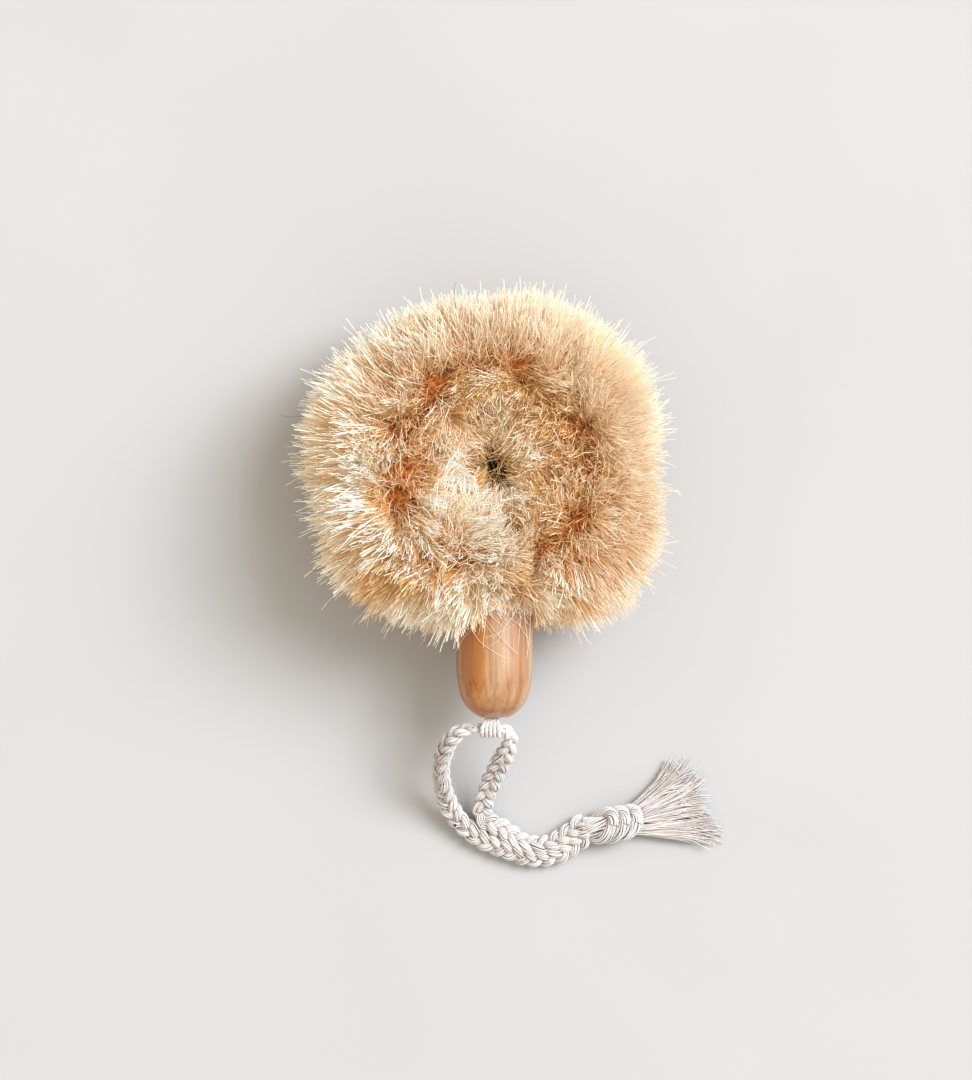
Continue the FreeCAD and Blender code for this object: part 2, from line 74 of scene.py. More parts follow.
UP = np.array([0.0, 0.0, 1.0])
RIGHT = np.array([1.0, 0.0, 0.0])
rng = np.random.default_rng(20)

RING_BOX = [np.array(corner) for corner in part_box("bristle_ring")]
HANDLE_BOX = [np.array(corner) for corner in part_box("handle")]
RING_HEIGHT = float(HANDLE_BOX[0][2] + HANDLE_BOX[1][2]) / 2
OUTER_REACH = float(RING_BOX[1][0])
RING_RADIUS = 35.0 * MM
BRISTLE_REACH = OUTER_REACH - RING_RADIUS
SHOULDER_RADIUS = 10.0 * MM
STEM_OFFSET = 2.1 * MM
SHOULDER_X = STEM_OFFSET + SHOULDER_RADIUS
SHOULDER_Y = math.sqrt((RING_RADIUS + SHOULDER_RADIUS) ** 2 - SHOULDER_X**2)


# Meshes from arrays


def new_object(name, points, faces, body=None):
    """A smooth mesh object from an array of points and an array of triangles or quads."""
    mesh = bpy.data.meshes.new(name)
    corners = faces.shape[1]
    mesh.vertices.add(len(points))
    mesh.vertices.foreach_set("co", np.ascontiguousarray(points, dtype=np.float32).ravel())
    mesh.loops.add(faces.size)
    mesh.loops.foreach_set("vertex_index", np.ascontiguousarray(faces, dtype=np.int32).ravel())
    mesh.polygons.add(len(faces))
    mesh.polygons.foreach_set("loop_start", np.arange(0, faces.size, corners, dtype=np.int32))
    mesh.polygons.foreach_set("loop_total", np.full(len(faces), corners, dtype=np.int32))
    mesh.polygons.foreach_set("use_smooth", np.full(len(faces), True))
    mesh.update(calc_edges=True)
    obj = bpy.data.objects.new(name, mesh)
    bpy.context.scene.collection.objects.link(obj)
    if body:
        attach(obj, body)
    return obj


def give_attribute(obj, name, values):
    """Store one number per vertex, which the materials read by name."""
    layer = obj.data.attributes.new(name, "FLOAT", "POINT")
    layer.data.foreach_set("value", np.ascontiguousarray(values, dtype=np.float32).ravel())


def give_each_strand(obj, name, values):
    """Store one number per strand on all of its vertices."""
    give_attribute(obj, name, np.repeat(values, len(obj.data.vertices) // len(values)))


def dress(obj, material):
    """Give a piece its material."""
    obj.data.materials.append(material)


def unit(vectors):
    length = np.linalg.norm(vectors, axis=-1, keepdims=True)
    return vectors / np.maximum(length, 1e-12)


def steps_along(paths, power=1.0):
    """From 0 at the root to 1 at the tip for each station, raised to a power that keeps the root still."""
    return np.linspace(0, 1, paths.shape[1])[None, :] ** power


def path_frames(paths):
    """Two directions across each path at each of its points; paths has the shape (count, stations, 3)."""
    along = unit(np.gradient(paths, axis=1))
    steady = np.where(np.abs(along[:, :1, 2:3]) > 0.8, RIGHT, UP)
    side = unit(np.cross(along, np.broadcast_to(steady, along.shape)))
    return side, np.cross(side, along)


def strands(name, paths, radii, sides, body=None):
    """Round threads along many paths as one mesh, with an unwrap that gives each thread a cell of its own."""
    count, stations = paths.shape[:2]
    first, second = path_frames(paths)
    turn = (2 * np.pi * np.arange(sides) / sides)[None, None, :, None]
    radii = np.broadcast_to(radii, (count, stations))
    ring = first[:, :, None, :] * np.cos(turn) + second[:, :, None, :] * np.sin(turn)
    points = paths[:, :, None, :] + ring * radii[:, :, None, None]
    base = np.arange(count * stations * sides).reshape(count, stations, sides)
    here, after = base[:, :-1], base[:, 1:]
    quads = np.stack([here, np.roll(here, -1, 2), np.roll(after, -1, 2), after], axis=-1)
    obj = new_object(name, points.reshape(-1, 3), quads.reshape(-1, 4), body)
    cell_unwrap(obj, count, stations, sides)
    give_attribute(obj, "along", np.broadcast_to(np.linspace(0, 1, stations)[None, :, None], base.shape))
    return obj


CELL_SHAPE = 3.0  # how many cells lie across for each one down
CELL_MARGIN = 0.12  # the share of a cell left empty on each side


def cell_unwrap(obj, count, stations, sides):
    """Lay the threads out side by side in a square of cells, one thread to a cell."""
    across = math.ceil(math.sqrt(count * CELL_SHAPE))
    down = math.ceil(count / across)
    number = np.arange(count)
    left, low = (number % across) / across, (number // across) / down
    step = np.arange(stations - 1) / (stations - 1)
    side = np.arange(sides) / sides
    u0 = np.broadcast_to(side[None, None, :], (count, stations - 1, sides))
    v0 = np.broadcast_to(step[None, :, None], (count, stations - 1, sides))
    u = np.stack([u0, u0 + 1 / sides, u0 + 1 / sides, u0], axis=-1)
    v = np.stack([v0, v0, v0 + 1 / (stations - 1), v0 + 1 / (stations - 1)], axis=-1)
    u = left[:, None, None, None] + (CELL_MARGIN + u * (1 - 2 * CELL_MARGIN)) / across
    v = low[:, None, None, None] + (CELL_MARGIN + v * (1 - 2 * CELL_MARGIN)) / down
    layer = obj.data.uv_layers.new(name="OFBake")
    layer.data.foreach_set("uv", np.stack([u, v], axis=-1).astype(np.float32).ravel())


# The bristle head


def core_point(share):
    """The wire's centre line and its outward side.

    The share runs from 0 at the right shoulder to 1 at the left one.
    """
    sweep = math.asin(SHOULDER_X / (RING_RADIUS + SHOULDER_RADIUS))
    bend = SHOULDER_RADIUS * (math.pi / 2 - sweep)
    half = bend + RING_RADIUS * (math.pi - sweep)
    mirror = share > 0.5
    run = np.where(mirror, 1 - share, share) * 2 * half
    on_bend = run < bend
    turned = np.minimum(run, bend) / SHOULDER_RADIUS
    angle = np.maximum(run - bend, 0) / RING_RADIUS + sweep - math.pi / 2
    x = np.where(on_bend, SHOULDER_X - SHOULDER_RADIUS * np.cos(turned), RING_RADIUS * np.cos(angle))
    y = np.where(on_bend, SHOULDER_RADIUS * np.sin(turned) - SHOULDER_Y, RING_RADIUS * np.sin(angle))
    turn = np.where(on_bend, math.pi / 2 - turned, angle + math.pi / 2)
    flip = np.where(mirror, -1.0, 1.0)
    centre = np.stack([x * flip, y, np.full_like(x, RING_HEIGHT)], axis=-1)
    outward = np.stack([np.sin(turn) * flip, -np.cos(turn), np.zeros_like(x)], axis=-1)
    return centre, outward


def wander(first_angle, second_angle, waves):
    """A smooth random field of two angles, about -1 to 1."""
    total = np.zeros_like(first_angle)
    for first_pace, second_pace, phase, weight in waves:
        total = total + weight * np.sin(first_pace * first_angle + second_pace * second_angle + phase)
    return total


def wave_set(count, slowest, fastest, power):
    """Random whole-number waves for wander, the faster ones weaker."""
    waves = []
    for _ in range(count):
        fa, fb = rng.integers(slowest, fastest + 1, 2) * rng.choice([-1, 1], 2)
        waves.append((fa, fb, rng.uniform(0, 2 * np.pi), 1.0 / max(abs(fa), abs(fb), 1) ** power))
    scale = math.sqrt(sum(wave[3] ** 2 for wave in waves))
    return [(fa, fb, phase, weight / scale) for fa, fb, phase, weight in waves]


LUMPS = wave_set(9, 2, 7, 0.6)
LEAN_ALONG = wave_set(12, 3, 14, 0.4)
LEAN_ROUND = wave_set(12, 3, 14, 0.4)
PARTING = wave_set(6, 1, 5, 0.5)
PATCHES = wave_set(8, 2, 8, 0.5)

FIBRES = 74000
FIBRES_PER_PIECE = 7800
FIBRE_STATIONS = 5
FIBRE_SIDES = 3
TOP_SHARE = 0.36  # of the fibres, those that make the surface; the others fill in below them
TOP_RADIUS = 0.19 * MM
UNDER_RADIUS = 0.13 * MM
TIP_TAPER = 0.7
ROOT_SHARE = 0.36  # how far out from the wire the modelled part of a fibre starts

# How thickly the fibres stand: everywhere, more where the ring leaves room, more on the crown, fewer below.
EVEN_DENSITY, ROOM_DENSITY, CROWN_DENSITY, UNDER_THINNING = 0.26, 0.50, 0.24, 0.55


def head_samples(count):
    """Random places on the ring: a share along the wire and an angle round it, fewer where it is crowded."""
    shares, angles = np.empty(0), np.empty(0)
    while len(shares) < count:
        share = rng.random(count)
        angle = rng.uniform(-np.pi, np.pi, count)
        room = (RING_RADIUS + BRISTLE_REACH * np.cos(angle)) / (RING_RADIUS + BRISTLE_REACH)
        under = np.clip(-np.sin(angle), 0, 1)
        crown = np.clip(np.sin(angle), 0, 1) ** 4
        density = np.clip(EVEN_DENSITY + ROOM_DENSITY * room + CROWN_DENSITY * crown, 0, 1)
        keep = rng.random(count) < density * (1 - UNDER_THINNING * under)
        shares, angles = np.append(shares, share[keep]), np.append(angles, angle[keep])
    return shares[:count], angles[:count]


# Where the outline bulges or dips: direction and half width in degrees, and how far in millimetres.
LOBES = [(160, 26, 5.0), (214, 18, 5.0), (312, 24, 5.0), (36, 16, 2.0), (0, 14, -6.0), (96, 12, -4.0),
         (287, 12, -8.0), (252, 9, -5.0)]
MEAN_REACH, LUMP_SIZE = 0.985, 0.030
LOBE_SPREAD = 0.25  # how far a lobe carries on over the top, as a cosine


def head_reach(share, angle):
    """How far the fibres reach from the wire, in soft lobes."""
    way = 2 * np.pi * share
    centre, _ = core_point(share)
    bearing = np.degrees(np.arctan2(centre[:, 1], centre[:, 0]))
    extra = np.zeros_like(share)
    for direction, width, rise in LOBES:
        off = (bearing - direction + 180) % 360 - 180
        extra += rise * MM * np.exp(-((off / width) ** 2))
    outer = np.clip(np.cos(angle) + LOBE_SPREAD, 0, 1)
    return BRISTLE_REACH * (MEAN_REACH + LUMP_SIZE * wander(way, angle, LUMPS)) + extra * outer


TUFT_LEAN, PARTING_LEAN = 0.10, 0.36  # radians round the wire
TUFT_SLIDE, INNER_SLIDE = 0.12, 0.16  # shares of the reach, along the wire


def fibre_paths(share, angle, length, stations=FIBRE_STATIONS, root=ROOT_SHARE):
    """Fibres from inside the head to its surface, leaning in soft tufts."""
    way = 2 * np.pi * share
    centre, outward = core_point(share)
    lean = angle + TUFT_LEAN * wander(way, angle, LEAN_ROUND) + PARTING_LEAN * wander(way, angle, PARTING)
    across = outward * np.cos(lean)[:, None] + UP * np.sin(lean)[:, None]
    along = np.cross(UP, outward)
    inner = np.clip(-np.cos(angle), 0, 1)
    slide = (TUFT_SLIDE + INNER_SLIDE * inner) * wander(way, angle, LEAN_ALONG)
    reach = head_reach(share, angle) * length
    step = np.linspace(root, 1.0, stations)[None, :, None]
    flat = across[:, None, :] * step + along[:, None, :] * (slide[:, None, None] * step**2)
    return centre[:, None, :] + flat * reach[:, None, None]


# The seam above the stems, and how far the tips shift and lift on its left and on its right.
SEAM_X = 9.0 * MM
SEAM_MIDDLE, SEAM_HALF_WIDTH = 4.0 * MM, 17.0 * MM
SEAM_START, SEAM_LENGTH = 4.0 * MM, 22.0 * MM
SEAM_DEPTH = 14.0 * MM
SEAM_SHIFT = (5.5 * MM, 4.0 * MM)
SEAM_LIFT = (2.0 * MM, -6.5 * MM)


def part_at_seam(paths):
    """Lay the ring's left end over the seam and drop its right end; returns each fibre's part in it."""
    step = steps_along(paths)
    x, y, z = paths[..., 0], paths[..., 1], paths[..., 2]
    near = np.exp(-(((x - SEAM_MIDDLE) / SEAM_HALF_WIDTH) ** 2))
    near = near * np.clip((SEAM_START - y) / SEAM_LENGTH, 0, 1)
    near = near * np.clip((z - RING_HEIGHT) / SEAM_DEPTH, 0, 1)
    left = x < SEAM_X
    paths[..., 0] += near * step * np.where(left, *SEAM_SHIFT)
    paths[..., 2] += near * step * np.where(left, *SEAM_LIFT)
    return near[:, -1] * left[:, -1]


END_SHARE = 0.10  # the share of the wire at each end where the fibres splay
END_REACH = 19.0 * MM
END_DROP = 0.25
SPLAY_HEIGHT, SPLAY_RISE = 13.0 * MM, 10.0 * MM
SPLAY_X, SPLAY_FADE, SPLAY_RIGHT = -2.0 * MM, 6.0 * MM, 0.12  # the splay fades to the right


def splay_ends(paths, share):
    """At the two ends of the strip the upper fibres lean out over the top of the handle."""
    step = steps_along(paths, 1.5)
    end = np.clip(1 - np.minimum(share, 1 - share) / END_SHARE, 0, 1)
    high = np.clip((paths[:, -1, 2] - RING_HEIGHT - SPLAY_HEIGHT) / SPLAY_RISE, 0, 1)
    corner = np.clip((SPLAY_X - paths[:, -1, 0]) / SPLAY_FADE, SPLAY_RIGHT, 1.0)
    over = end * high * corner * rng.uniform(0.3, 1.0, len(share)) * END_REACH
    paths[..., 1] -= over[:, None] * step
    paths[..., 2] -= over[:, None] * step * END_DROP


# Places where the fibres part and fan out: x, y, how wide and how far the tips are pushed, in millimetres.
WHORLS = [(-36, -13, 13, 8.0), (-39, 15, 9, 5.0), (-20, 34, 10, 5.5), (12, 37, 9, 4.5), (35, 16, 9, 5.0),
          (30, -20, 10, 5.0), (-18, -38, 8, 4.0), (-12, 16, 8, 3.5), (16, -6, 7, 3.0)]
WHORL_DEPTH = 12.0 * MM


def part_in_whorls(paths, share):
    """Push the tips away from each whorl, which bares the golden fibres at its middle."""
    step = steps_along(paths, 1.4)
    high = np.clip((paths[:, -1, 2] - RING_HEIGHT) / WHORL_DEPTH, 0, 1)
    tips = paths[:, -1].copy()
    for x, y, width, push in WHORLS:
        off = tips[:, :2] - np.array([x, y]) * MM
        gap = np.linalg.norm(off, axis=1)
        near = np.exp(-((gap / (width * MM)) ** 2)) * high * share * push * MM
        paths[..., :2] += (unit(off) * near[:, None])[:, None, :] * step[..., None]


TUFT_CELL = 3.3 * MM
TUFT_SWING, CROWN_SWING = 1.2 * MM, 2.4 * MM
TUFT_RISE = 0.07  # of a fibre's length


def gather(paths, strength, loose, crown):
    """Draw the tips of neighbouring fibres together into tufts; loose lets a tuft lean and stand proud."""
    tips = paths[:, -1]
    order = rng.permutation(len(tips))
    cells = np.floor(tips[order] / TUFT_CELL).astype(int)
    _, first = np.unique(cells, axis=0, return_index=True)
    centres = tips[order[first]]
    tree = kdtree.KDTree(len(centres))
    for number, place in enumerate(centres):
        tree.insert(Vector(place), number)
    tree.balance()
    nearest = np.array([tree.find(Vector(tip))[1] for tip in tips])
    swing = rng.normal(0, 1.0, (len(centres), 3))[nearest] * (TUFT_SWING + CROWN_SWING * crown)[:, None]
    rise = rng.normal(0, TUFT_RISE, len(centres))[nearest]
    pull = (centres[nearest] - tips) * strength[:, None]
    pull += (swing + (tips - paths[:, 0]) * rise[:, None]) * loose[:, None]
    paths += pull[:, None, :] * steps_along(paths, 1.6)[..., None]
    return rise / TUFT_RISE


RUFFLE_PACE = 7.0  # radians of waviness along a fibre


def ruffle(paths, bend, wave):
    """Bend each fibre its own way and give it a fine waviness."""
    count = len(paths)
    step = steps_along(paths)[..., None]
    toward = unit(rng.normal(size=(count, 3)))[:, None, :]
    other = unit(rng.normal(size=(count, 3)))[:, None, :]
    phase = rng.uniform(0, 2 * np.pi, (count, 1, 1))
    paths += toward * bend[:, None, None] * step**2
    paths += other * wave * np.sin(phase + step * RUFFLE_PACE) * step


HOLE_RADIUS = 3.1 * MM
HOLE_WAVE = 0.35
HIGH_EASE = 0.5  # how much of its height above the CAD box and EASE_START a long fibre loses
EASE_START = 1.5 * MM
HANDLE_CLEAR = (HANDLE_BOX[1][0] - HANDLE_BOX[0][0]) / 2 + 0.4 * MM


def settle(paths):
    """Keep the fibres on top of the table, out of the handle and out of the hole in the middle."""
    low = rng.uniform(0.2, 1.6, paths.shape[:2]) * MM
    paths[..., 2] = np.maximum(paths[..., 2], low)
    paths[..., 2] -= HIGH_EASE * np.maximum(paths[..., 2] - RING_BOX[1][2] - EASE_START, 0)
    off = np.maximum(np.hypot(paths[..., 0], paths[..., 1]), 1e-6)
    hole = HOLE_RADIUS * (1 + HOLE_WAVE * np.sin(3 * np.arctan2(paths[..., 1], paths[..., 0]) + 1.0))
    open_up = np.maximum(hole / off, 1.0)
    paths[..., 0] *= open_up
    paths[..., 1] *= open_up
    x, y, z = paths[..., 0], paths[..., 1], paths[..., 2] - RING_HEIGHT
    off = np.sqrt(x**2 + z**2)
    within = (y < HANDLE_BOX[1][1] + 1.0 * MM) & (off < HANDLE_CLEAR)
    push = np.where(within, HANDLE_CLEAR / np.maximum(off, 1e-6), 1.0)
    paths[..., 0] = x * push
    paths[..., 2] = z * push + RING_HEIGHT


def add_fibres(name, paths, width, sides, material, **looks):
    """One mesh of tapered fibres, with one number per fibre for each look that the material reads."""
    taper = np.linspace(1.0, TIP_TAPER, paths.shape[1])[None, :]
    piece = strands(name, paths, taper * np.reshape(width, (-1, 1)), sides, "brush")
    for look, values in looks.items():
        give_each_strand(piece, look, values)
    dress(piece, material)
    return piece


ARC_OUT, ARC_WIDTH = 0.48, 0.17  # where the golden arc over the wire lies, as shares of the head's reach
INSIDE_OUT = 0.45
FACE_X, FACE_Y, FACE_WIDE, FACE_HIGH = -41, -45, 13, 7  # the golden end face, in millimetres


def pale_patches(tips):
    """Where the tips are bleached: most on the left and the rim, least in a golden arc over the wire."""
    left = np.clip(-tips[:, 0] / OUTER_REACH, -1, 1)
    near = np.clip(-tips[:, 1] / OUTER_REACH, -1, 1)
    way = np.arctan2(tips[:, 1], tips[:, 0])
    out = np.hypot(tips[:, 0], tips[:, 1]) / OUTER_REACH
    arc = np.exp(-(((out - ARC_OUT) / ARC_WIDTH) ** 2)) * (0.5 + 0.5 * np.sin(way + 0.2))
    inside = np.exp(-((out / INSIDE_OUT) ** 2)) * np.clip(0.5 + 2.2 * tips[:, 0] / OUTER_REACH, 0, 1)
    across, down = tips[:, 0] / MM, tips[:, 1] / MM
    face = np.exp(-((across - FACE_X) / FACE_WIDE) ** 2 - ((down - FACE_Y) / FACE_HIGH) ** 2)
    bare = np.zeros_like(out)
    for x, y, width, _ in WHORLS:
        bare += np.exp(-((across - x) ** 2 + (down - y) ** 2) / (0.8 * width) ** 2)
    pale = 0.16 * left + 0.14 * near * left + 0.16 * wander(way, out * 4, PATCHES)
    return pale - 0.45 * arc - 0.3 * inside - 1.1 * face - 0.4 * np.clip(bare, 0, 1)


def hollow_places(tips):
    """How deep in shade a tip lies: in the hole, in the gap above the handle and at the seam."""
    x, y = tips[:, 0] / MM, tips[:, 1] / MM
    hole = np.exp(-((x / 6.5) ** 2 + (y / 5.5) ** 2) ** 2)
    gap = 0.55 * np.exp(-(((x - 9) / 7) ** 2 + ((y + 41) / 6) ** 2))
    seam = 0.35 * np.exp(-(((x - SEAM_X / MM - 3) / 4) ** 2)) * np.clip((-4 - y) / 12, 0, 1)
    return hole + gap + seam


def far_side(tips):
    """How much a tip belongs to the top and right rim, where the light falls strongest and its haze is
    painted in as a soft pale peach.
    """
    out = np.hypot(tips[:, 0], tips[:, 1]) / OUTER_REACH
    toward = (0.62 * tips[:, 0] + 0.78 * tips[:, 1]) / OUTER_REACH
    return np.clip(0.35 + 1.1 * toward, 0, 1) * np.clip((out - 0.5) / 0.3, 0, 1)


def fibre_shades(tips, top, tuft, calm):
    """From -1, in deep shade, through 0, golden, to 1, bleached, for each fibre."""
    patch = pale_patches(tips)
    shade = rng.random(len(tips))
    over = 0.66 + 0.34 * shade + 1.1 * patch + 0.14 * tuft
    under = 0.22 * shade + 0.5 * patch
    return np.clip(np.where(top, over, under) + 0.5 * calm, -1, 1) - 1.1 * hollow_places(tips)


def build_fibres(material):
    """The visible fibres in several meshes, every one of them a separate tapered thread."""
    share, angle = head_samples(FIBRES)
    top = rng.random(FIBRES) < TOP_SHARE
    length = np.where(top, rng.normal(0.975, 0.035, FIBRES), rng.normal(0.86, 0.05, FIBRES))
    paths = fibre_paths(share, angle, np.clip(length, 0.72, 1.05))
    calm = part_at_seam(paths)
    splay_ends(paths, share)
    part_in_whorls(paths, np.where(top, 1.0, 0.6) * (1 - 0.8 * calm))
    crown = np.clip(np.sin(angle), 0, 1) ** 3
    inner = np.clip(-np.cos(angle), 0, 1)
    wild = rng.random(FIBRES) < 0.15 + 0.32 * crown
    ragged = np.clip(0.62 - 0.5 * (paths[:, -1, 0] + 0.6 * paths[:, -1, 1]) / OUTER_REACH, 0.25, 1)
    tight = np.clip(rng.normal(0.48, 0.2, FIBRES), 0, 0.9)
    ragged = np.maximum(ragged, 0.85 * np.maximum(crown, inner))
    tuft = gather(paths, tight * (0.45 + 0.55 * ragged) * (1 - 0.8 * calm), ragged * (1 - 0.8 * calm), crown)
    bend = np.abs(rng.normal(0, 1.1 * MM, FIBRES)) + np.where(wild, rng.uniform(2.0, 6.0, FIBRES) * MM, 0)
    ruffle(paths, bend * (1 - 0.85 * calm), 0.6 * MM)
    settle(paths)
    white = fibre_shades(paths[:, -1], top, tuft * ragged, calm)
    # Painted light: the haze of strong light on the lit top and right rim.
    painted_haze = far_side(paths[:, -1])
    width = np.where(top, TOP_RADIUS, UNDER_RADIUS) * rng.uniform(0.8, 1.2, FIBRES)
    order = np.argsort(share, kind="stable")
    for number, start in enumerate(range(0, FIBRES, FIBRES_PER_PIECE)):
        chosen = order[start : start + FIBRES_PER_PIECE]
        looks = {"white": white[chosen], "painted_haze": painted_haze[chosen]}
        piece = add_fibres(f"fibres_{number}", paths[chosen], width[chosen], FIBRE_SIDES, material, **looks)
        if number == 0:
            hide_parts("bristle_ring")


STRAYS = 420
DARK_STRAYS = 26
STRAY_RADIUS = 0.085 * MM
STRAY_STATIONS = 9


def build_strays(pale_fibre, dark_fibre):
    """Long loose fibres that stand off the head and curl over the handle, and a few dark ones."""
    kinds = (("stray_fibres", STRAYS, pale_fibre), ("dark_fibres", DARK_STRAYS, dark_fibre))
    for name, count, material in kinds:
        share, angle = head_samples(count)
        if name == "dark_fibres":
            share = 0.5 + share * 0.5
        else:
            by_handle = rng.random(count) < 0.22
            share = np.where(by_handle, rng.choice([0.02, 0.96], count) + rng.uniform(0, 0.02, count), share)
            angle = np.where(by_handle, rng.uniform(1.1, 1.9, count), angle)
        length = rng.uniform(1.0, 1.13, count)
        paths = fibre_paths(share, angle, length, STRAY_STATIONS, 0.66)
        splay_ends(paths, share)
        ruffle(paths, rng.uniform(2.0, 9.0, count) * MM, 1.3 * MM)
        settle(paths)
        add_fibres(name, paths, STRAY_RADIUS, 4, material, white=rng.uniform(0.5, 1.0, count))


COLLAR_FIBRES = 1500
COLLAR_STRAYS = 34
# The share of the collar curls that are painted dark as shade in the gap.
COLLAR_SHADED_SHARE = 0.55


def build_collar(pale_fibre):
    """Short curls in the shaded gap above the handle, the darker of them painted shade, with pale fibres and
    long strays lying over its top.
    """
    count = COLLAR_FIBRES + COLLAR_STRAYS
    number = np.arange(count)
    dark = number < COLLAR_FIBRES * COLLAR_SHADED_SHARE
    stray = number >= COLLAR_FIBRES
    top = float(HANDLE_BOX[1][1])
    x = rng.uniform(-10, 12, count) * MM
    y = top + rng.uniform(2, 7, count) * MM
    root = np.stack([x, y, RING_HEIGHT + rng.uniform(1, 15, count) * MM], axis=1)
    reach = np.where(dark, rng.uniform(2.0, 7.5, count), rng.uniform(4.0, 11.0, count)) * MM
    reach = np.where(stray, rng.uniform(14.0, 24.0, count) * MM, reach)
    bearing = np.radians(rng.normal(-88, 26, count) + np.where(stray, 14, 0))
    way = np.stack([np.cos(bearing), np.sin(bearing)], axis=1)
    curl = rng.normal(0, 0.35, count) * reach
    paths = np.repeat(root[:, None, :], STRAY_STATIONS, axis=1)
    step = steps_along(paths)
    paths[..., 0] += way[:, :1] * reach[:, None] * step - way[:, 1:] * curl[:, None] * step**2
    paths[..., 1] += way[:, 1:] * reach[:, None] * step + way[:, :1] * curl[:, None] * step**2
    arch = np.where(stray, 3.0, 1.4) * MM * rng.uniform(0.3, 1.4, count)
    paths[..., 2] += arch[:, None] * np.sin(np.pi * 0.8 * step) - 1.5 * MM * step**2
    ruffle(paths, np.where(stray, 3.0, 1.0) * MM * rng.random(count), 0.3 * MM)
    settle(paths)
    radius = np.where(stray, 0.13, 0.16) * MM
    # Painted shade: the darker curls run from golden down to deep shade.
    white = np.where(dark, rng.uniform(-1.0, 0.0, count), rng.uniform(0.3, 1.0, count))
    add_fibres("collar_fibres", paths, radius, FIBRE_SIDES, pale_fibre, white=white)


HOLE_FIBRES = 120
HOLE_TOP_FIBRES = 40  # of those, the ones that lie near the top; the rest lie deeper and are painted shade
HOLE_FIBRE_RADIUS = 0.17 * MM
HOLE_FIBRE_SAG = 5 * MM
HOLE_FIBRE_STATIONS = 7


def build_hole_fibres(dark_fibre):
    """Fibres that kept the dark husk, crossing near the top of the hole in the middle, with more dark fibres
    below them that are painted shade in the hole.
    """
    count = HOLE_FIBRES
    bearing = rng.uniform(0, 2 * np.pi, count)
    way = np.stack([np.cos(bearing), np.sin(bearing)], axis=1)
    near = np.arange(count) < HOLE_TOP_FIBRES
    # The deeper fibres, lower in the hole, are painted shade.
    start = np.where(near, rng.uniform(7, 12, count), rng.uniform(4, 9, count)) * MM
    end = np.where(near, rng.uniform(1.5, 4, count), rng.uniform(-4, 2, count)) * MM
    high = RING_HEIGHT + np.where(near, rng.uniform(-2, 12, count), rng.uniform(-22, -6, count)) * MM
    step = np.linspace(0, 1, HOLE_FIBRE_STATIONS)[None, :]
    out = start[:, None] * (1 - step) + end[:, None] * step
    paths = np.stack([way[:, :1] * out, way[:, 1:] * out, high[:, None] - HOLE_FIBRE_SAG * step**2], axis=-1)
    ruffle(paths, rng.uniform(0.5, 2.5, count) * MM, 0.4 * MM)
    paths[..., 2] = np.maximum(paths[..., 2], 0.5 * MM)
    add_fibres("hole_fibres", paths, HOLE_FIBRE_RADIUS, 4, dark_fibre)


HEART_RINGS, HEART_SIDES = 168, 56
HEART_REACH, HEART_ROUGHNESS = 0.56, 0.04  # shares of the fibres' reach
HEART_END = 0.07  # the share of the wire over which each end of the packing closes


def build_bristle_heart(material):
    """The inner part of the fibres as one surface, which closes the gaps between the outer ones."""
    share = np.linspace(0.0, 1.0, HEART_RINGS)
    angle = np.linspace(-np.pi, np.pi, HEART_SIDES, endpoint=False)
    share, angle = (grid.ravel() for grid in np.meshgrid(share, angle, indexing="ij"))
    rough = HEART_ROUGHNESS * wander(40 * share, 6 * angle, wave_set(14, 3, 11, 0.2))
    closing = np.sqrt(np.clip(np.minimum(share, 1 - share) / HEART_END, 0.0004, 1))
    points = fibre_paths(share, angle, (HEART_REACH + rough) * closing, 2, 0.5)[:, -1]
    points[:, 2] = np.maximum(points[:, 2], 1.0 * MM)
    base = np.arange(HEART_RINGS * HEART_SIDES).reshape(HEART_RINGS, HEART_SIDES)
    beside = np.roll(base, -1, 1)
    quads = np.stack([base[:-1], beside[:-1], beside[1:], base[1:]], axis=-1)
    body = new_object("bristle_heart", points, quads.reshape(-1, 4), "brush")
    dress(body, material)


# The lanyard


JOINTS = {joint["name"]: np.array(joint["pos_m"]) for joint in frame["joints"]}
HOLE = JOINTS["anchor_swing"]
BIGHT = JOINTS["loop_lift"]
JOIN = JOINTS["tail_swing"]
KNOT_IN = JOINTS["knot_lift"]
KNOT_OUT = JOINTS["tassel_bend"]
KNOT_AXIS = unit(KNOT_OUT - KNOT_IN)

# Centre line of the braid, as steps in millimetres: the legs from the bight and the tail from the join.
LEFT_LEG = [(-4.2, 0.0, 0.0), (-8.2, -0.3, -0.4), (-12.2, -2.2, -1.9), (-15.8, -6.6, -5.4),
            (-17.9, -13.4, -10.9), (-17.8, -19.9, -15.8), (-16.1, -26.3, -20.4), (-13.3, -32.6, -23.9),
            (-8.6, -38.0, -25.9)]
RIGHT_LEG = [(4.2, 0.0, 0.0), (6.7, -1.7, -0.9), (7.2, -5.1, -4.2), (5.1, -10.4, -9.0), (1.7, -17.0, -14.6),
             (-1.3, -23.4, -19.4), (-2.7, -29.2, -23.2), (-1.6, -34.6, -25.6)]
TAIL_LINE = [(6.0, -3.6, 0.0), (12.5, -5.2, 0.0), (19.9, -4.0, 0.0), (26.0, -0.3, 0.2)]
TURN_OUT = [(-5.4, -1.6, 0.2), (0.2, -3.6, 0.0)]
TURN_IN = [(1.8, 2.2, 0.1)]
TAIL_APART = 2.3 * MM


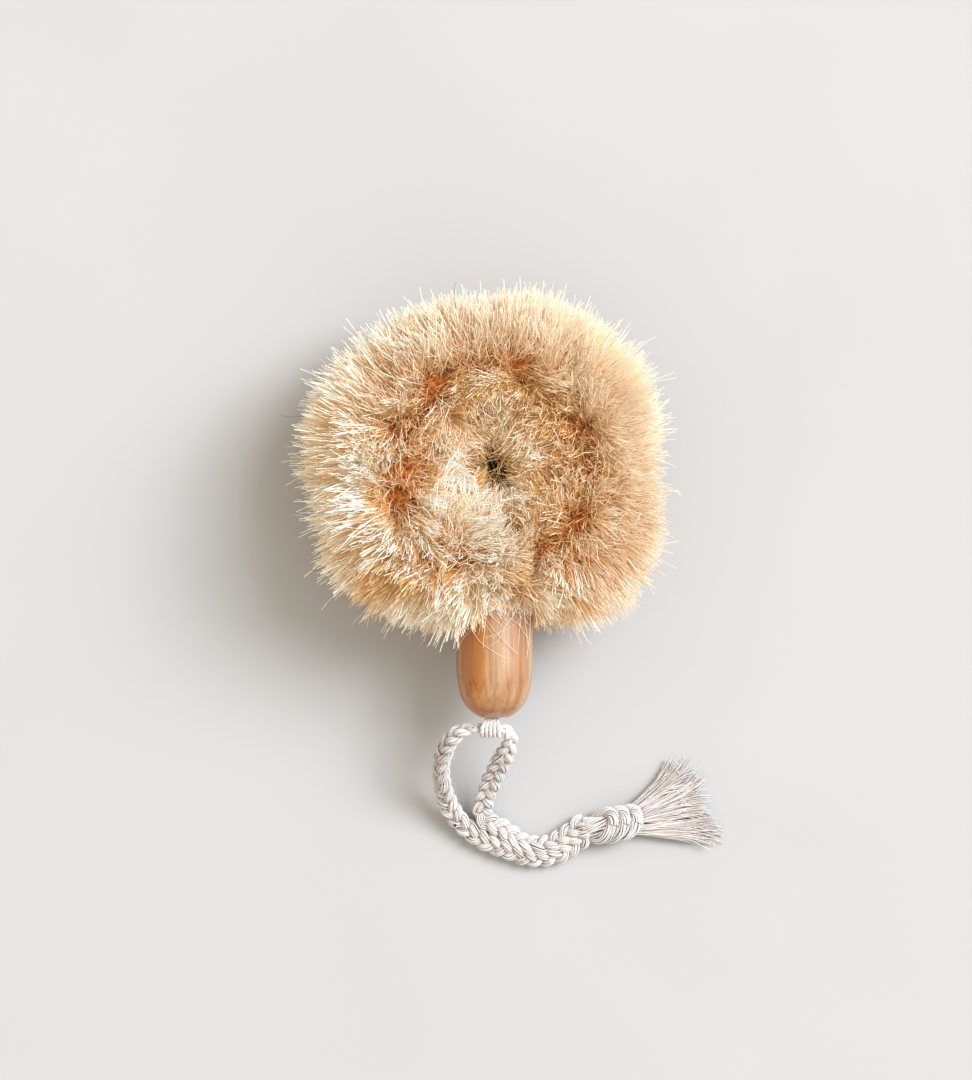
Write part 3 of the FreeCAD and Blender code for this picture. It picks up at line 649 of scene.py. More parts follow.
def smooth_path(points, spacing):
    """A curve through the points, Catmull-Rom between them, with its stations evenly spaced."""
    points = np.asarray(points, dtype=float)
    padded = np.vstack([2 * points[0] - points[1], points, 2 * points[-1] - points[-2]])
    share = np.linspace(0, 1, 24, endpoint=False)[:, None]
    dense = []
    for a, b, c, d in zip(padded, padded[1:], padded[2:], padded[3:]):
        square, cube = 2 * a - 5 * b + 4 * c - d, 3 * b - a - 3 * c + d
        dense.append(0.5 * (2 * b + (c - a) * share + square * share**2 + cube * share**3))
    dense = np.vstack(dense + [points[-1:]])
    run = np.concatenate([[0], np.cumsum(np.linalg.norm(np.diff(dense, axis=0), axis=1))])
    even = np.linspace(0, run[-1], max(int(run[-1] / spacing), 2) + 1)
    return np.stack([np.interp(even, run, dense[:, k]) for k in range(3)], axis=1), even


def roll_frame(path, roll):
    """The directions across a path: its broad side turned by roll from level, and its thin side."""
    along = unit(np.gradient(path, axis=0))
    level = unit(np.cross(along, UP))
    rise = np.cross(level, along)
    broad = level * np.cos(roll)[:, None] + rise * np.sin(roll)[:, None]
    return broad, np.cross(broad, along)


YARN_RADIUS = 0.25 * MM
YARN_LOWEST = YARN_RADIUS + 0.1 * MM
BRAID_SPACING = 0.75 * MM
BRAID_PERIOD = 14.0 * MM
BRAID_BROAD = 2.25 * MM
BRAID_THIN = 1.0 * MM
BRAID_YARNS = 20  # round each of the three strands
BRAID_TWIST = 26.0 * MM
BRAID_LOOSE = 0.11
STRAND_RADIUS = 1.30 * MM
BIGHT_SLIM = 0.47  # the braid is drawn this thin where the thread turns hold it
SLIM_START, SLIM_LENGTH = 5.0 * MM, 9.0 * MM
# How far the braid rolls from level, in radians, against the share of its length from the bight.
ROLL_PLACES = [-0.5, -0.30, -0.16, -0.02, 0.02, 0.08, 0.2, 0.32, 0.5]
ROLL_ANGLES = [0.5, 0.3, 1.05, 0.9, 0.6, 0.15, 0.0, 0.45, 0.5]
FUZZ_CLEAR = 15.0 * MM  # no loose fibre ends nearer to the bight than this, where they would brush the handle
FUZZ_JOIN_CLEAR = 60  # stations of the braid on the loop's side of each cut that carry none
FUZZ_PER_STATION = 38


def yarns_round(path, frame_a, frame_b, run, radius, count, twist, loose):
    """Yarns laid side by side round a strand, each wandering a little from its place."""
    yarns = []
    for number in range(count):
        phase = rng.uniform(0, 2 * np.pi, 3)
        angle = 2 * np.pi * (number / count + run / twist) + 0.16 * np.sin(run / (3.1 * MM) + phase[0])
        out = radius * (1 + loose * np.sin(run / (2.3 * MM) + phase[1]) + rng.normal(0, loose * 0.6))
        across = frame_a * (np.cos(angle) * out)[:, None]
        yarns.append(path + across + frame_b * (np.sin(angle) * out)[:, None])
    return yarns


def plait(path, run, roll, slim):
    """All the yarns of a flat three-strand braid along a path; slim scales its section along the way."""
    broad, thin = roll_frame(path, roll)
    yarns = []
    for strand in range(3):
        phase = 2 * np.pi * (run / BRAID_PERIOD + strand / 3)
        sway = BRAID_BROAD * np.sin(phase) * slim
        lift = BRAID_THIN * np.sin(2 * phase) * slim
        centre = path + broad * sway[:, None] + thin * lift[:, None]
        side, up = roll_frame(centre, roll)
        swell = 1 + 0.10 * np.sin(run / (4.7 * MM) + 2.1 * strand) + 0.06 * np.sin(run / (1.9 * MM) + strand)
        radius = STRAND_RADIUS * slim * swell
        yarns += yarns_round(centre, side, up, run, radius, BRAID_YARNS, BRAID_TWIST, BRAID_LOOSE)
    return np.array(yarns)


def braid_points():
    """The whole braid's centre line from the outer end at the knot, round the bight, to the inner end."""

    def steps_from(start, steps):
        return [start + np.array(step) * MM for step in steps]

    middle = steps_from(JOIN, TAIL_LINE) + [KNOT_IN]
    way = unit(np.gradient(np.array(middle), axis=0))
    apart = unit(np.cross(UP, way)) * TAIL_APART
    outer = [m - a for m, a in zip(middle, apart)]
    inner = [m + a for m, a in zip(middle, apart)]
    out_to_bight = outer[::-1] + steps_from(JOIN, TURN_OUT)[::-1] + steps_from(BIGHT, LEFT_LEG)[::-1]
    return out_to_bight + [BIGHT] + steps_from(BIGHT, RIGHT_LEG) + steps_from(JOIN, TURN_IN) + inner


def blend_between(piece):
    """Bake a piece's placement into its mesh."""
    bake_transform(piece)


def build_lanyard(cotton):
    """The braid in three pieces: the loop and the two ends of the doubled tail."""
    path, run = smooth_path(braid_points(), BRAID_SPACING)
    from_bight = np.linalg.norm(path - BIGHT, axis=1)
    slim = BIGHT_SLIM + (1 - BIGHT_SLIM) * np.clip((from_bight - SLIM_START) / SLIM_LENGTH, 0, 1)
    middle = int(np.argmin(from_bight))
    share = (np.arange(len(path)) - middle) / len(path)
    yarns = plait(path, run, np.interp(share, ROLL_PLACES, ROLL_ANGLES), slim)
    yarns[..., 2] = np.maximum(yarns[..., 2], YARN_LOWEST)
    from_halfway = np.linalg.norm(path - (JOIN + KNOT_IN) / 2, axis=1)
    first_cut = int(np.argmin(from_halfway[:middle]))
    last_cut = middle + int(np.argmin(from_halfway[middle:]))
    spans = (
        ("braid_loop", "cord_loop", first_cut, last_cut + 1),
        ("braid_end_outer", "cord_tail_outer", 0, first_cut + 1),
        ("braid_end_inner", "cord_tail_inner", last_cut, len(path)),
    )
    for name, node, start, stop in spans:
        piece = strands(name, yarns[:, start:stop], YARN_RADIUS, 6)
        dress_cotton(piece, len(yarns), cotton)
        if name == "braid_loop":
            blend_between(piece)
        else:
            blend_between(piece)
        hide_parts(node)
    clear = np.flatnonzero(from_bight > FUZZ_CLEAR)
    legs = (("left", first_cut + FUZZ_JOIN_CLEAR, middle), ("right", middle, last_cut - FUZZ_JOIN_CLEAR))
    for name, start, stop in legs:
        kept = clear[(clear >= start) & (clear < stop)]
        build_fuzz(f"braid_fuzz_{name}", yarns[:, kept], FUZZ_PER_STATION * len(kept), "loop", cotton)


def dress_cotton(piece, yarn_count, material):
    """Colour and slot for a cotton piece: each yarn has its own shade."""
    dress(piece, material)
    give_each_strand(piece, "shade", rng.random(yarn_count))


FUZZ_RADIUS = 0.045 * MM
FUZZ_SHADE = 0.9
FUZZ_LOWEST = 0.15 * MM


def build_fuzz(name, yarns, count, body, material):
    """Loose fibre ends that stand off the cotton."""
    row = rng.integers(0, yarns.shape[0], count)
    station = rng.integers(1, yarns.shape[1] - 1, count)
    root = yarns[row, station]
    along = unit(yarns[row, station + 1] - yarns[row, station - 1])
    out = unit(rng.normal(size=(count, 3)) + along * 0.6)
    length = rng.uniform(0.8, 2.4, count)[:, None, None] * MM
    step = np.linspace(0, 1, 4)[None, :, None]
    curl = unit(rng.normal(size=(count, 3)))[:, None, :]
    paths = root[:, None, :] + (out[:, None, :] * step + curl * 0.5 * step**2) * length
    paths[..., 2] = np.maximum(paths[..., 2], FUZZ_LOWEST)
    piece = strands(name, paths, FUZZ_RADIUS, 3, body)
    dress(piece, material)
    give_attribute(piece, "shade", np.full(len(piece.data.vertices), FUZZ_SHADE))


KNOT_SPACING = 0.7 * MM
KNOT_LOOSE = 0.05
KNOT_FLAT = 0.85  # its strands are pressed a little flat
KNOT_WIDE, KNOT_TALL = 4.5 * MM, 2.9 * MM
BAND_OFFSETS = (-3.6 * MM, 0.6 * MM, 4.8 * MM)
BAND_SLANT = 4.2 * MM
BAND_RADIUS, BAND_YARNS, BAND_TWIST = 2.05 * MM, 28, 34 * MM
CORE_RADIUS, CORE_YARNS, CORE_TWIST = 3.3 * MM, 44, 60 * MM


def build_knot(cotton):
    """The overhand knot: slanting bands of the doubled braid round a core that runs out to the tassel."""
    across = unit(np.cross(UP, KNOT_AXIS))
    low, high = [np.array(corner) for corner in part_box("cord_knot")]
    centre = (KNOT_IN + KNOT_OUT) / 2
    centre[2] = (low[2] + high[2]) / 2 - 0.2 * MM
    turn = np.linspace(0, 2 * np.pi, 60)
    slant = BAND_SLANT * np.cos(turn - 0.5)
    bands = []
    for offset in BAND_OFFSETS:
        loop = centre + KNOT_AXIS * (offset + slant)[:, None]
        loop = loop + across * (KNOT_WIDE * np.sin(turn))[:, None] + UP * (KNOT_TALL * np.cos(turn))[:, None]
        bands.append((loop, BAND_RADIUS, BAND_YARNS, BAND_TWIST))
    core = [
        KNOT_IN - KNOT_AXIS * 1.0 * MM,
        KNOT_IN + KNOT_AXIS * 3 * MM + UP * 0.8 * MM,
        centre,
        KNOT_OUT - KNOT_AXIS * 3 * MM,
        KNOT_OUT + KNOT_AXIS * 2.0 * MM,
    ]
    bands.append((core, CORE_RADIUS, CORE_YARNS, CORE_TWIST))
    for number, (line, radius, count, twist) in enumerate(bands):
        path, run = smooth_path(line, KNOT_SPACING)
        side, up = roll_frame(path, np.zeros(len(path)))
        yarns = np.array(yarns_round(path, side, up * KNOT_FLAT, run, radius, count, twist, KNOT_LOOSE))
        yarns[..., 2] = np.maximum(yarns[..., 2], YARN_LOWEST)
        piece = strands(f"knot_band_{number}", yarns, YARN_RADIUS * 1.02, 6, "knot")
        dress_cotton(piece, count, cotton)
        if number == 0:
            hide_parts("cord_knot")


# The six strands of the tassel: which way each lies, in degrees, and its length against the longest.
TASSEL_GROUPS = [(45, 0.80), (36, 0.96), (28, 1.0), (12, 0.98), (3, 1.02), (-6, 1.05)]
TASSEL_PLIES = 4
TASSEL_YARNS = 13
TASSEL_LENGTH = 34.0 * MM
TASSEL_ROOT = 5 * MM  # how far inside the knot its yarns start
TASSEL_STATIONS = 26
TASSEL_RADIUS = 0.24 * MM
TASSEL_FUZZ = 500


def build_tassel(cotton):
    """The unravelled ends of the six strands, fanned out on the table."""
    step = np.linspace(0, 1, TASSEL_STATIONS)
    bend = step[:, None] ** 1.5
    square = np.cross(UP, KNOT_AXIS)
    paths = []
    for group, (degrees, share) in enumerate(TASSEL_GROUPS):
        start_side = (2.5 - group) / 2.5
        for _ in range(TASSEL_PLIES):
            ply_angle = math.radians(degrees + rng.normal(0, 4.5))
            ply_reach = TASSEL_LENGTH * share * rng.uniform(0.92, 1.0)
            ply_side = start_side + rng.normal(0, 0.2)
            ply_rise = rng.uniform(-1.6, 2.0) * MM
            ply_wave, ply_pace, ply_phase = rng.normal(0, 0.9 * MM), rng.uniform(4, 8), rng.uniform(0, 6)
            end_height = rng.uniform(0.8, 3.6) * MM
            for _ in range(TASSEL_YARNS):
                angle = ply_angle + math.radians(rng.normal(0, 2.6))
                way = np.array([math.cos(angle), math.sin(angle), 0.0])
                side = np.array([-way[1], way[0], 0.0])
                root = KNOT_OUT - KNOT_AXIS * TASSEL_ROOT
                root = root + square * (ply_side + rng.normal(0, 0.12)) * 3.0 * MM
                root = root + UP * (ply_rise + rng.normal(0, 0.5 * MM))
                reach = ply_reach * rng.uniform(0.88, 1.03)
                path = root + KNOT_AXIS * TASSEL_ROOT * step[:, None] * (1 - bend)
                path = path + way * (reach * step)[:, None]
                own = rng.normal(0, 0.3 * MM) * np.sin(step * rng.uniform(6, 14) + rng.uniform(0, 6))
                wave = ply_wave * np.sin(step * ply_pace + ply_phase) + own
                path += side * (wave * step + rng.normal(0, 0.5 * MM) * step**2)[:, None]
                fall = root[2] + (end_height - root[2]) * step**0.8
                path[:, 2] = fall + rng.normal(0, 0.4 * MM) * step
                path[:, 2] += 0.4 * MM * np.sin(step * 6 + ply_angle * 9)
                path[:, 2] = np.maximum(path[:, 2], 0.3 * MM)
                paths.append(path)
    paths = np.array(paths)
    radii = np.linspace(1.0, 0.6, TASSEL_STATIONS)[None, :] * TASSEL_RADIUS
    piece = strands("tassel_yarns", paths, radii, 4)
    dress_cotton(piece, len(paths), cotton)
    blend_between(piece)
    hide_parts("cord_tassel")
    build_fuzz("tassel_fuzz", paths[:, 12:], TASSEL_FUZZ, "tassel", cotton)


ANCHOR_TURNS, ANCHOR_WIDTH = 5, 7.4 * MM
ANCHOR_PLIES = 3
ANCHOR_LAY = 5.5 * MM
PLY_OUT, PLY_RADIUS = 0.42 * MM, 0.46 * MM


def anchor_turn(x):
    """One turn of the thread, from the cord bore over the braid and back below it."""
    out, bight = HOLE[1], BIGHT[1]
    # How far from the bore's middle towards x, how far out of the butt, and how high above the bore.
    stations = [
        (0.35, out + 4.0 * MM, 1.0), (0.45, out - 0.5 * MM, 1.5), (0.85, bight + 1.6 * MM, 2.75),
        (1.0, bight - 0.3 * MM, 3.0), (1.0, bight - 2.1 * MM, 2.1), (1.0, bight - 2.9 * MM, 0.0),
    ]
    there = [np.array([HOLE[0] + (x - HOLE[0]) * near, y, HOLE[2] + rise * MM]) for near, y, rise in stations]
    back = [point * [1, 1, 0] + UP * (2 * HOLE[2] - point[2]) for point in there[:-1]]
    return there + back[::-1]


def build_anchor(cotton):
    """Turns of plain three-ply thread side by side, from inside the handle round the bight and back."""
    plies = []
    for turn in range(ANCHOR_TURNS):
        x = BIGHT[0] + ANCHOR_WIDTH * ((turn + 0.5) / ANCHOR_TURNS - 0.5)
        path, run = smooth_path(anchor_turn(x), 0.35 * MM)
        along = unit(np.gradient(path, axis=0))
        side = np.broadcast_to(RIGHT, path.shape)
        up = np.cross(along, side)
        for ply in range(ANCHOR_PLIES):
            angle = 2 * np.pi * (run / ANCHOR_LAY + ply / ANCHOR_PLIES) + turn
            across = side * (np.cos(angle) * PLY_OUT)[:, None]
            plies.append(path + across + up * (np.sin(angle) * PLY_OUT)[:, None])
    shortest = min(len(ply) for ply in plies)
    plies = np.array([ply[np.linspace(0, len(ply) - 1, shortest).round().astype(int)] for ply in plies])
    piece = strands("anchor_turns", plies, PLY_RADIUS, 7)
    dress_cotton(piece, len(plies), cotton)
    blend_between(piece)
    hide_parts("cord_anchor", "cord_root")


# Shader nodes


def srgb(red, green, blue):
    """A colour given the way paint charts give it, turned into the linear values that shaders use."""

    def linear(value):
        value /= 255
        return value / 12.92 if value <= 0.04045 else ((value + 0.055) / 1.055) ** 2.4

    return (linear(red), linear(green), linear(blue), 1.0)


WHITE = (1.0, 1.0, 1.0, 1.0)


def shader(name, roughness, **inputs):
    """A node material with one Principled shader; extra inputs have underscores for spaces in their names."""
    material = bpy.data.materials.new(name)
    material.use_nodes = True
    tree = material.node_tree
    principled = tree.nodes["Principled BSDF"]
    principled.inputs["Roughness"].default_value = roughness
    for key, value in inputs.items():
        principled.inputs[key.replace("_", " ")].default_value = value
    return material, tree, principled


def plug(tree, value, socket):
    """Link an output to a socket, or set the socket to a plain value."""
    if hasattr(value, "is_linked"):
        tree.links.new(value, socket)
    else:
        socket.default_value = value


def add_node(tree, kind, inputs=None, **settings):
    """A new node with its settings made and its inputs, by name or by number, linked or set."""
    node = tree.nodes.new("ShaderNode" + kind)
    for key, value in settings.items():
        setattr(node, key, value)
    for key, value in (inputs or {}).items():
        plug(tree, value, node.inputs[key])
    return node


def ramp(tree, factor, stops):
    node = add_node(tree, "ValToRGB", {"Fac": factor})
    while len(node.color_ramp.elements) < len(stops):
        node.color_ramp.elements.new(0.5)
    for element, (place, colour) in zip(node.color_ramp.elements, stops):
        element.position, element.color = place, colour
    return node.outputs["Color"]


def mix(tree, factor, first, second, mode="MIX"):
    inputs = {"Factor": factor, "A": first, "B": second}
    return add_node(tree, "Mix", inputs, data_type="RGBA", blend_type=mode).outputs["Result"]


def attribute(tree, name):
    return add_node(tree, "Attribute", attribute_name=name).outputs["Fac"]


def maths(tree, operation, first, second=0.0, clamp=False):
    node = add_node(tree, "Math", {0: first, 1: second}, operation=operation, use_clamp=clamp)
    return node.outputs["Value"]


def scaled(tree, value, factor, start, clamp=False):
    """The value times a factor, counted from a start."""
    return maths(tree, "ADD", maths(tree, "MULTIPLY", value, factor), start, clamp)


def vector_maths(tree, operation, first, second=None, scale=None):
    given = {0: first, 1: second, "Scale": scale}
    inputs = {key: value for key, value in given.items() if value is not None}
    return add_node(tree, "VectorMath", inputs, operation=operation).outputs["Vector"]


def noise(tree, scale, detail, stretch=None, roughness=0.55):
    """Noise over the object's own space, drawn out along an axis by a smaller stretch there."""
    place = add_node(tree, "TexCoord").outputs["Object"]
    if stretch:
        place = add_node(tree, "Mapping", {"Vector": place, "Scale": stretch}).outputs["Vector"]
    inputs = {"Vector": place, "Scale": scale, "Detail": detail, "Roughness": roughness}
    return add_node(tree, "TexNoise", inputs).outputs["Fac"]


def paint(tree, principled, colour, roughness=None):
    """Plug in the colour and, where it varies, the roughness."""
    plug(tree, colour, principled.inputs["Base Color"])
    if roughness:
        plug(tree, roughness, principled.inputs["Roughness"])


def bump(tree, height, principled, distance, strength=1.0):
    node = add_node(tree, "Bump", {"Height": height, "Distance": distance, "Strength": strength})
    tree.links.new(node.outputs["Normal"], principled.inputs["Normal"])


# Materials


FUR_SHARE = 0.25  # how much a fibre is lit as part of the furry surface
SKY_SHARE = 0.7  # how much it is lit as if it faced up
GLOW = (1.0, 0.68, 0.32, 1.0)  # painted light: an even glow that stands in for light that has come through the fibres
GLOW_STRENGTH = 0.10
PAINTED_HAZE_SHARE = 0.8

# Along each fibre from root to tip: the dark root end is partly the fibre's own colour and partly painted
# shade deep in the pile.
GOLDEN = [(0.00, srgb(146, 58, 12)), (0.45, srgb(216, 120, 36)), (0.80, srgb(238, 166, 80)),
          (1.00, srgb(244, 206, 142))]
BLEACHED = [(0.00, srgb(200, 124, 48)), (0.22, srgb(250, 216, 156)), (0.42, srgb(255, 247, 226)),
            (1.00, srgb(255, 255, 252))]
DEEP_SHADE = srgb(54, 20, 6)
# Painted light: a flat pale peach for the haze of strong light on the lit top and right rim.
PAINTED_HAZE = srgb(235, 212, 186)


def fibre_material():
    """Plant fibre: burnt orange deep in the brush, partly its own colour and partly painted shade of the
    pile, golden along its length and bleached at the tip.
    """
    material, tree, principled = shader("sisal", 0.5, Specular_IOR_Level=0.35, Sheen_Weight=0.15)
    # Painted light: the fibres glow a little, standing in for light that has come through them.
    principled.inputs["Emission Color"].default_value = GLOW
    principled.inputs["Emission Strength"].default_value = GLOW_STRENGTH
    golden = ramp(tree, attribute(tree, "along"), GOLDEN)
    bleached = ramp(tree, attribute(tree, "along"), BLEACHED)
    white = attribute(tree, "white")
    painted_haze = maths(tree, "MULTIPLY", attribute(tree, "painted_haze"), PAINTED_HAZE_SHARE)
    colour = mix(tree, maths(tree, "ADD", white, 0.0, clamp=True), golden, bleached)
    colour = mix(tree, maths(tree, "MULTIPLY", white, -1.0, clamp=True), colour, DEEP_SHADE)
    # Painted light: the lit rim is flattened towards that pale peach.
    colour = mix(tree, painted_haze, colour, PAINTED_HAZE)
    patches = ramp(tree, noise(tree, 42.0, 2.0), [(0.35, (0.95, 0.90, 0.80, 1)), (0.62, WHITE)])
    colour = mix(tree, 0.7, colour, patches, "MULTIPLY")
    paint(tree, principled, colour, scaled(tree, noise(tree, 900.0, 2.0), 0.25, 0.38))
    tree.links.new(fur_normal(tree), principled.inputs["Normal"])
    return material


def fur_normal(tree):
    """Light the thin fibres partly as the furry surface that they make up, which faces away from the ring."""
    place = add_node(tree, "TexCoord").outputs["Object"]
    flat = vector_maths(tree, "NORMALIZE", vector_maths(tree, "MULTIPLY", place, (1.0, 1.0, 0.0)))
    ring = vector_maths(tree, "SCALE", flat, scale=RING_RADIUS)
    core = vector_maths(tree, "ADD", ring, (0.0, 0.0, RING_HEIGHT))
    outward = vector_maths(tree, "NORMALIZE", vector_maths(tree, "SUBTRACT", place, core))
    own = add_node(tree, "NewGeometry").outputs["Normal"]
    both = vector_maths(tree, "ADD", vector_maths(tree, "SCALE", outward, scale=FUR_SHARE), own)
    raised = vector_maths(tree, "ADD", both, (0.0, 0.0, SKY_SHARE))
    return vector_maths(tree, "NORMALIZE", raised)


def dark_fibre_material():
    """The few fibres that kept the colour of the husk."""
    material, tree, principled = shader("dark_fibre", 0.55)
    colour = ramp(tree, attribute(tree, "along"), [(0.0, srgb(58, 34, 20)), (1.0, srgb(96, 66, 44))])
    paint(tree, principled, mix(tree, 0.4, colour, noise(tree, 300.0, 2.0), "MULTIPLY"))
    return material


def heart_material():
    """The shaded packing of fibres below the surface."""
    material, tree, principled = shader("sisal_heart", 0.8, Specular_IOR_Level=0.2)
    stripes = noise(tree, 700.0, 4.0)
    stops = [(0.30, srgb(120, 56, 20)), (0.50, srgb(186, 108, 50)), (0.72, srgb(222, 158, 96))]
    paint(tree, principled, ramp(tree, stripes, stops))
    bump(tree, stripes, principled, 0.8 * MM)
    return material


def cotton_material():
    """Undyed cotton: warm white yarn with fine fibre lines, and painted shade in tan where the yarns press
    together.
    """
    looks = {"Specular_IOR_Level": 0.2, "Sheen_Weight": 0.35, "Sheen_Roughness": 0.6}
    material, tree, principled = shader("cotton", 0.85, **looks)
    # Painted shade: an occlusion node mixes tan into the creases between the yarns.
    crevice_shade = add_node(tree, "AmbientOcclusion", {"Distance": 1.0 * MM}, samples=8)
    unshaded_share = maths(tree, "POWER", crevice_shade.outputs["AO"], 1.3)
    white = ramp(tree, attribute(tree, "shade"), [(0.0, srgb(202, 206, 211)), (1.0, srgb(225, 229, 235))])
    blotch = ramp(tree, noise(tree, 220.0, 3.0), [(0.35, srgb(242, 234, 224)), (0.6, WHITE)])
    white = mix(tree, 0.5, white, blotch, "MULTIPLY")
    colour = mix(tree, unshaded_share, srgb(180, 142, 106), white)
    fine = noise(tree, 2600.0, 3.0)
    paint(tree, principled, colour, scaled(tree, fine, 0.2, 0.75))
    bump(tree, fine, principled, 0.12 * MM)
    return material


# The colours of the wood against its broad figure, then the dark lines of its rings. The paler sapwood is
# partly the wood's own colour and partly a painted highlight on the side towards the light.
HEARTWOOD = [(0.30, srgb(138, 74, 12)), (0.44, srgb(162, 94, 24)), (0.54, srgb(174, 108, 36)),
             (0.68, srgb(190, 134, 62))]
SAPWOOD_AND_HIGHLIGHT = [(0.30, srgb(146, 90, 42)), (0.42, srgb(164, 118, 76)), (0.55, srgb(174, 136, 100)),
           (0.68, srgb(184, 150, 120))]
RING_LINES = [(0.455, WHITE), (0.475, (0.74, 0.54, 0.36, 1)), (0.495, WHITE), (0.56, WHITE),
              (0.575, (0.78, 0.60, 0.42, 1)), (0.59, WHITE)]
HEART_EDGE = 4 * MM  # the width over which heartwood turns to sapwood, just left of the middle
HEART_DRIFT = 12 * MM


def wood_material():
    """Oiled light hardwood with its grain along the handle, paler on its right: partly sapwood, partly a
    painted highlight.
    """
    looks = {"Specular_IOR_Level": 0.5, "Coat_Weight": 0.9, "Coat_Roughness": 0.4}
    material, tree, principled = shader("handle_wood", 0.48, **looks)
    wide = noise(tree, 1.0, 3.0, (190.0, 5.0, 190.0))
    fine = noise(tree, 1.0, 4.0, (950.0, 22.0, 950.0), 0.65)
    pores = noise(tree, 1.0, 2.0, (2600.0, 110.0, 2600.0))
    rings = noise(tree, 1.0, 2.0, (230.0, 3.0, 230.0), 0.4)
    place = add_node(tree, "TexCoord").outputs["Object"]
    across = add_node(tree, "SeparateXYZ", {"Vector": place})
    drift = maths(tree, "MULTIPLY", maths(tree, "SUBTRACT", wide, 0.5), HEART_DRIFT)
    edge = maths(tree, "ADD", across.outputs["X"], drift)
    share = scaled(tree, edge, 1 / HEART_EDGE, 1.0, clamp=True)
    # Heartwood on the left, paler on the right: partly sapwood, partly a painted highlight.
    colour = mix(tree, share, ramp(tree, wide, HEARTWOOD), ramp(tree, wide, SAPWOOD_AND_HIGHLIGHT))
    streaks = ramp(tree, fine, [(0.32, (0.70, 0.58, 0.46, 1)), (0.52, WHITE)])
    colour = mix(tree, 0.8, colour, streaks, "MULTIPLY")
    colour = mix(tree, 0.75, colour, ramp(tree, rings, RING_LINES), "MULTIPLY")
    flecks = ramp(tree, pores, [(0.28, (0.55, 0.42, 0.32, 1)), (0.36, WHITE)])
    colour = mix(tree, 0.5, colour, flecks, "MULTIPLY")
    paint(tree, principled, colour, scaled(tree, fine, 0.22, 0.26))
    bump(tree, fine, principled, 0.05 * MM, 0.5)
    return material


def metal_material(name, light, dark, roughness):
    """Drawn wire or a small nail, with faint scratches and dull patches."""
    material, tree, principled = shader(name, roughness, Metallic=0.9)
    patches = noise(tree, 600.0, 4.0)
    colour = ramp(tree, patches, [(0.35, dark), (0.65, light)])
    paint(tree, principled, colour, scaled(tree, patches, 0.35, roughness - 0.1))
    bump(tree, noise(tree, 3000.0, 2.0), principled, 0.02 * MM)
    return material


def glue_material():
    """Set amber adhesive, a little cloudy."""
    material, tree, principled = shader("set_glue", 0.4)
    cloud = noise(tree, 900.0, 3.0)
    colour = ramp(tree, cloud, [(0.3, srgb(196, 170, 120)), (0.7, srgb(226, 208, 168))])
    paint(tree, principled, colour)
    bump(tree, cloud, principled, 0.1 * MM)
    return material


def dress_node(name, material):
    """Give a CAD node a material of its own."""
    obj = frame["nodes"][name]
    obj.data.materials.clear()
    obj.data.materials.append(material)


# Floor, light and camera


FLOOR_REACH = 3.0


def build_stage():
    """A plain pale table top under the brush."""
    low = float(CAD_BOX[0][2])
    corners = np.array([[x, y, low] for x, y in ((-1, -1), (1, -1), (1, 1), (-1, 1))])
    corners[:, :2] *= FLOOR_REACH
    floor = new_object("floor", corners, np.array([[0, 1, 2, 3]]))
    material, tree, principled = shader("table_top", 0.9, Specular_IOR_Level=0.1)
    colour = ramp(tree, noise(tree, 6.0, 2.0), [(0.3, srgb(178, 178, 178)), (0.7, srgb(181, 181, 181))])
    paint(tree, principled, colour)
    floor.data.materials.append(material)


def area_light(name, place, target, size, power, colour):
    light = bpy.data.lights.new(name, "AREA")
    light.shape, light.size, light.energy, light.color = "DISK", size, power, colour
    obj = bpy.data.objects.new(name, light)
    obj.location = place
    obj.rotation_euler = (Vector(target) - Vector(place)).to_track_quat("-Z", "Y").to_euler()
    bpy.context.scene.collection.objects.link(obj)


SKY_TOWARD = (0.80, 0.25, 0.54)  # the bright side of the sky
SKY = [(0.0, (0.66, 0.55, 0.38, 1.0)), (0.5, (0.86, 0.77, 0.62, 1.0)), (1.0, (1.0, 1.0, 0.98, 1.0))]
SKY_STRENGTH = 1.07
BACKDROP = (0.76, 0.76, 0.76, 1.0)  # what the camera itself sees past the table


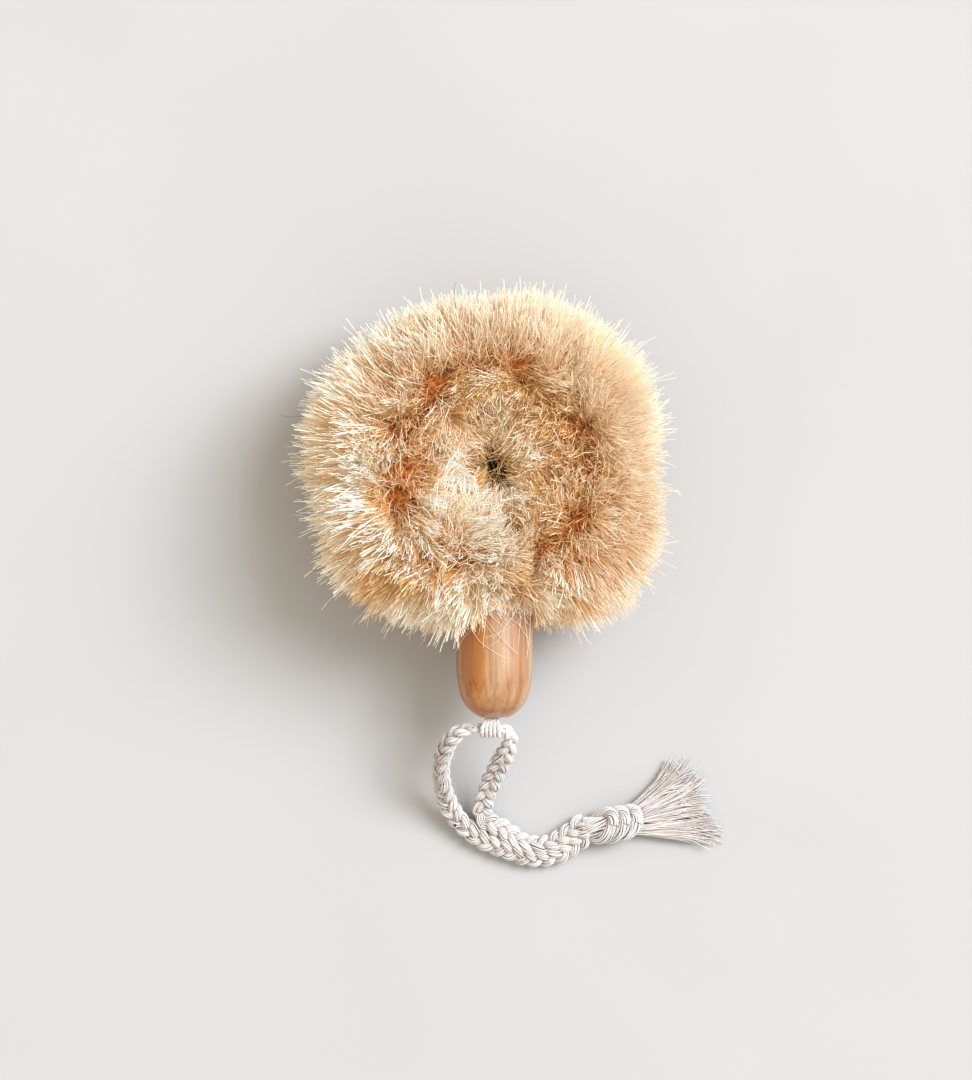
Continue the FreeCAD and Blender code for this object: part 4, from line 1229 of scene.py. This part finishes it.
def build_light():
    """A broad soft window from the upper right over a sky that is warm and dim on its far side."""
    world = bpy.data.worlds.new("soft_sky")
    bpy.context.scene.world = world
    world.use_nodes = True
    tree = world.node_tree
    background = tree.nodes["Background"]
    place = add_node(tree, "TexCoord").outputs["Generated"]
    toward = add_node(tree, "VectorMath", {0: place, 1: SKY_TOWARD}, operation="DOT_PRODUCT")
    sky = ramp(tree, scaled(tree, toward.outputs["Value"], 0.5, 0.5), SKY)
    seen = add_node(tree, "LightPath").outputs["Is Camera Ray"]
    plug(tree, mix(tree, seen, sky, BACKDROP), background.inputs["Color"])
    background.inputs["Strength"].default_value = SKY_STRENGTH
    area_light("window", (7.5, 5.0, 9.9), (0, -0.02, 0.02), 7.6, 1500.0, (0.95, 1.0, 1.11))
    area_light("side_card", (5.6, 2.4, 4.6), (0, -0.04, 0.03), 3.2, 300.0, (1.0, 1.0, 1.0))


VIEW_X, VIEW_Y = -3.1 * MM, -26.2 * MM
VIEW_HEIGHT = 392.7 * MM  # how much of the scene the picture shows from bottom to top
CAMERA_DISTANCE = 2.0


def build_camera():
    """Straight above the brush, with the head at the top of the picture."""
    camera = bpy.data.cameras.new("camera")
    camera.sensor_fit = "VERTICAL"
    camera.angle = 2 * math.atan(VIEW_HEIGHT / 2 / CAMERA_DISTANCE)
    obj = bpy.data.objects.new("camera", camera)
    obj.location = (VIEW_X, VIEW_Y, RING_HEIGHT + CAMERA_DISTANCE)
    bpy.context.scene.collection.objects.link(obj)
    bpy.context.scene.camera = obj
    bpy.context.scene.view_settings.view_transform = "Standard"


def main():
    build_stage()
    build_light()
    build_camera()
    sisal, husk, cotton = fibre_material(), dark_fibre_material(), cotton_material()
    build_fibres(sisal)
    build_strays(sisal, husk)
    build_collar(sisal)
    build_hole_fibres(husk)
    build_bristle_heart(heart_material())
    build_lanyard(cotton)
    build_knot(cotton)
    build_tassel(cotton)
    build_anchor(cotton)
    dress_node("handle", wood_material())
    wire = metal_material("core_wire_metal", srgb(190, 190, 192), srgb(130, 128, 126), 0.4)
    for node in ("core_wire_a", "core_wire_b"):
        dress_node(node, wire)
    dress_node("cord_brad", metal_material("brad_metal", srgb(92, 74, 60), srgb(48, 36, 30), 0.5))
    dress_node("stem_glue", glue_material())


main()
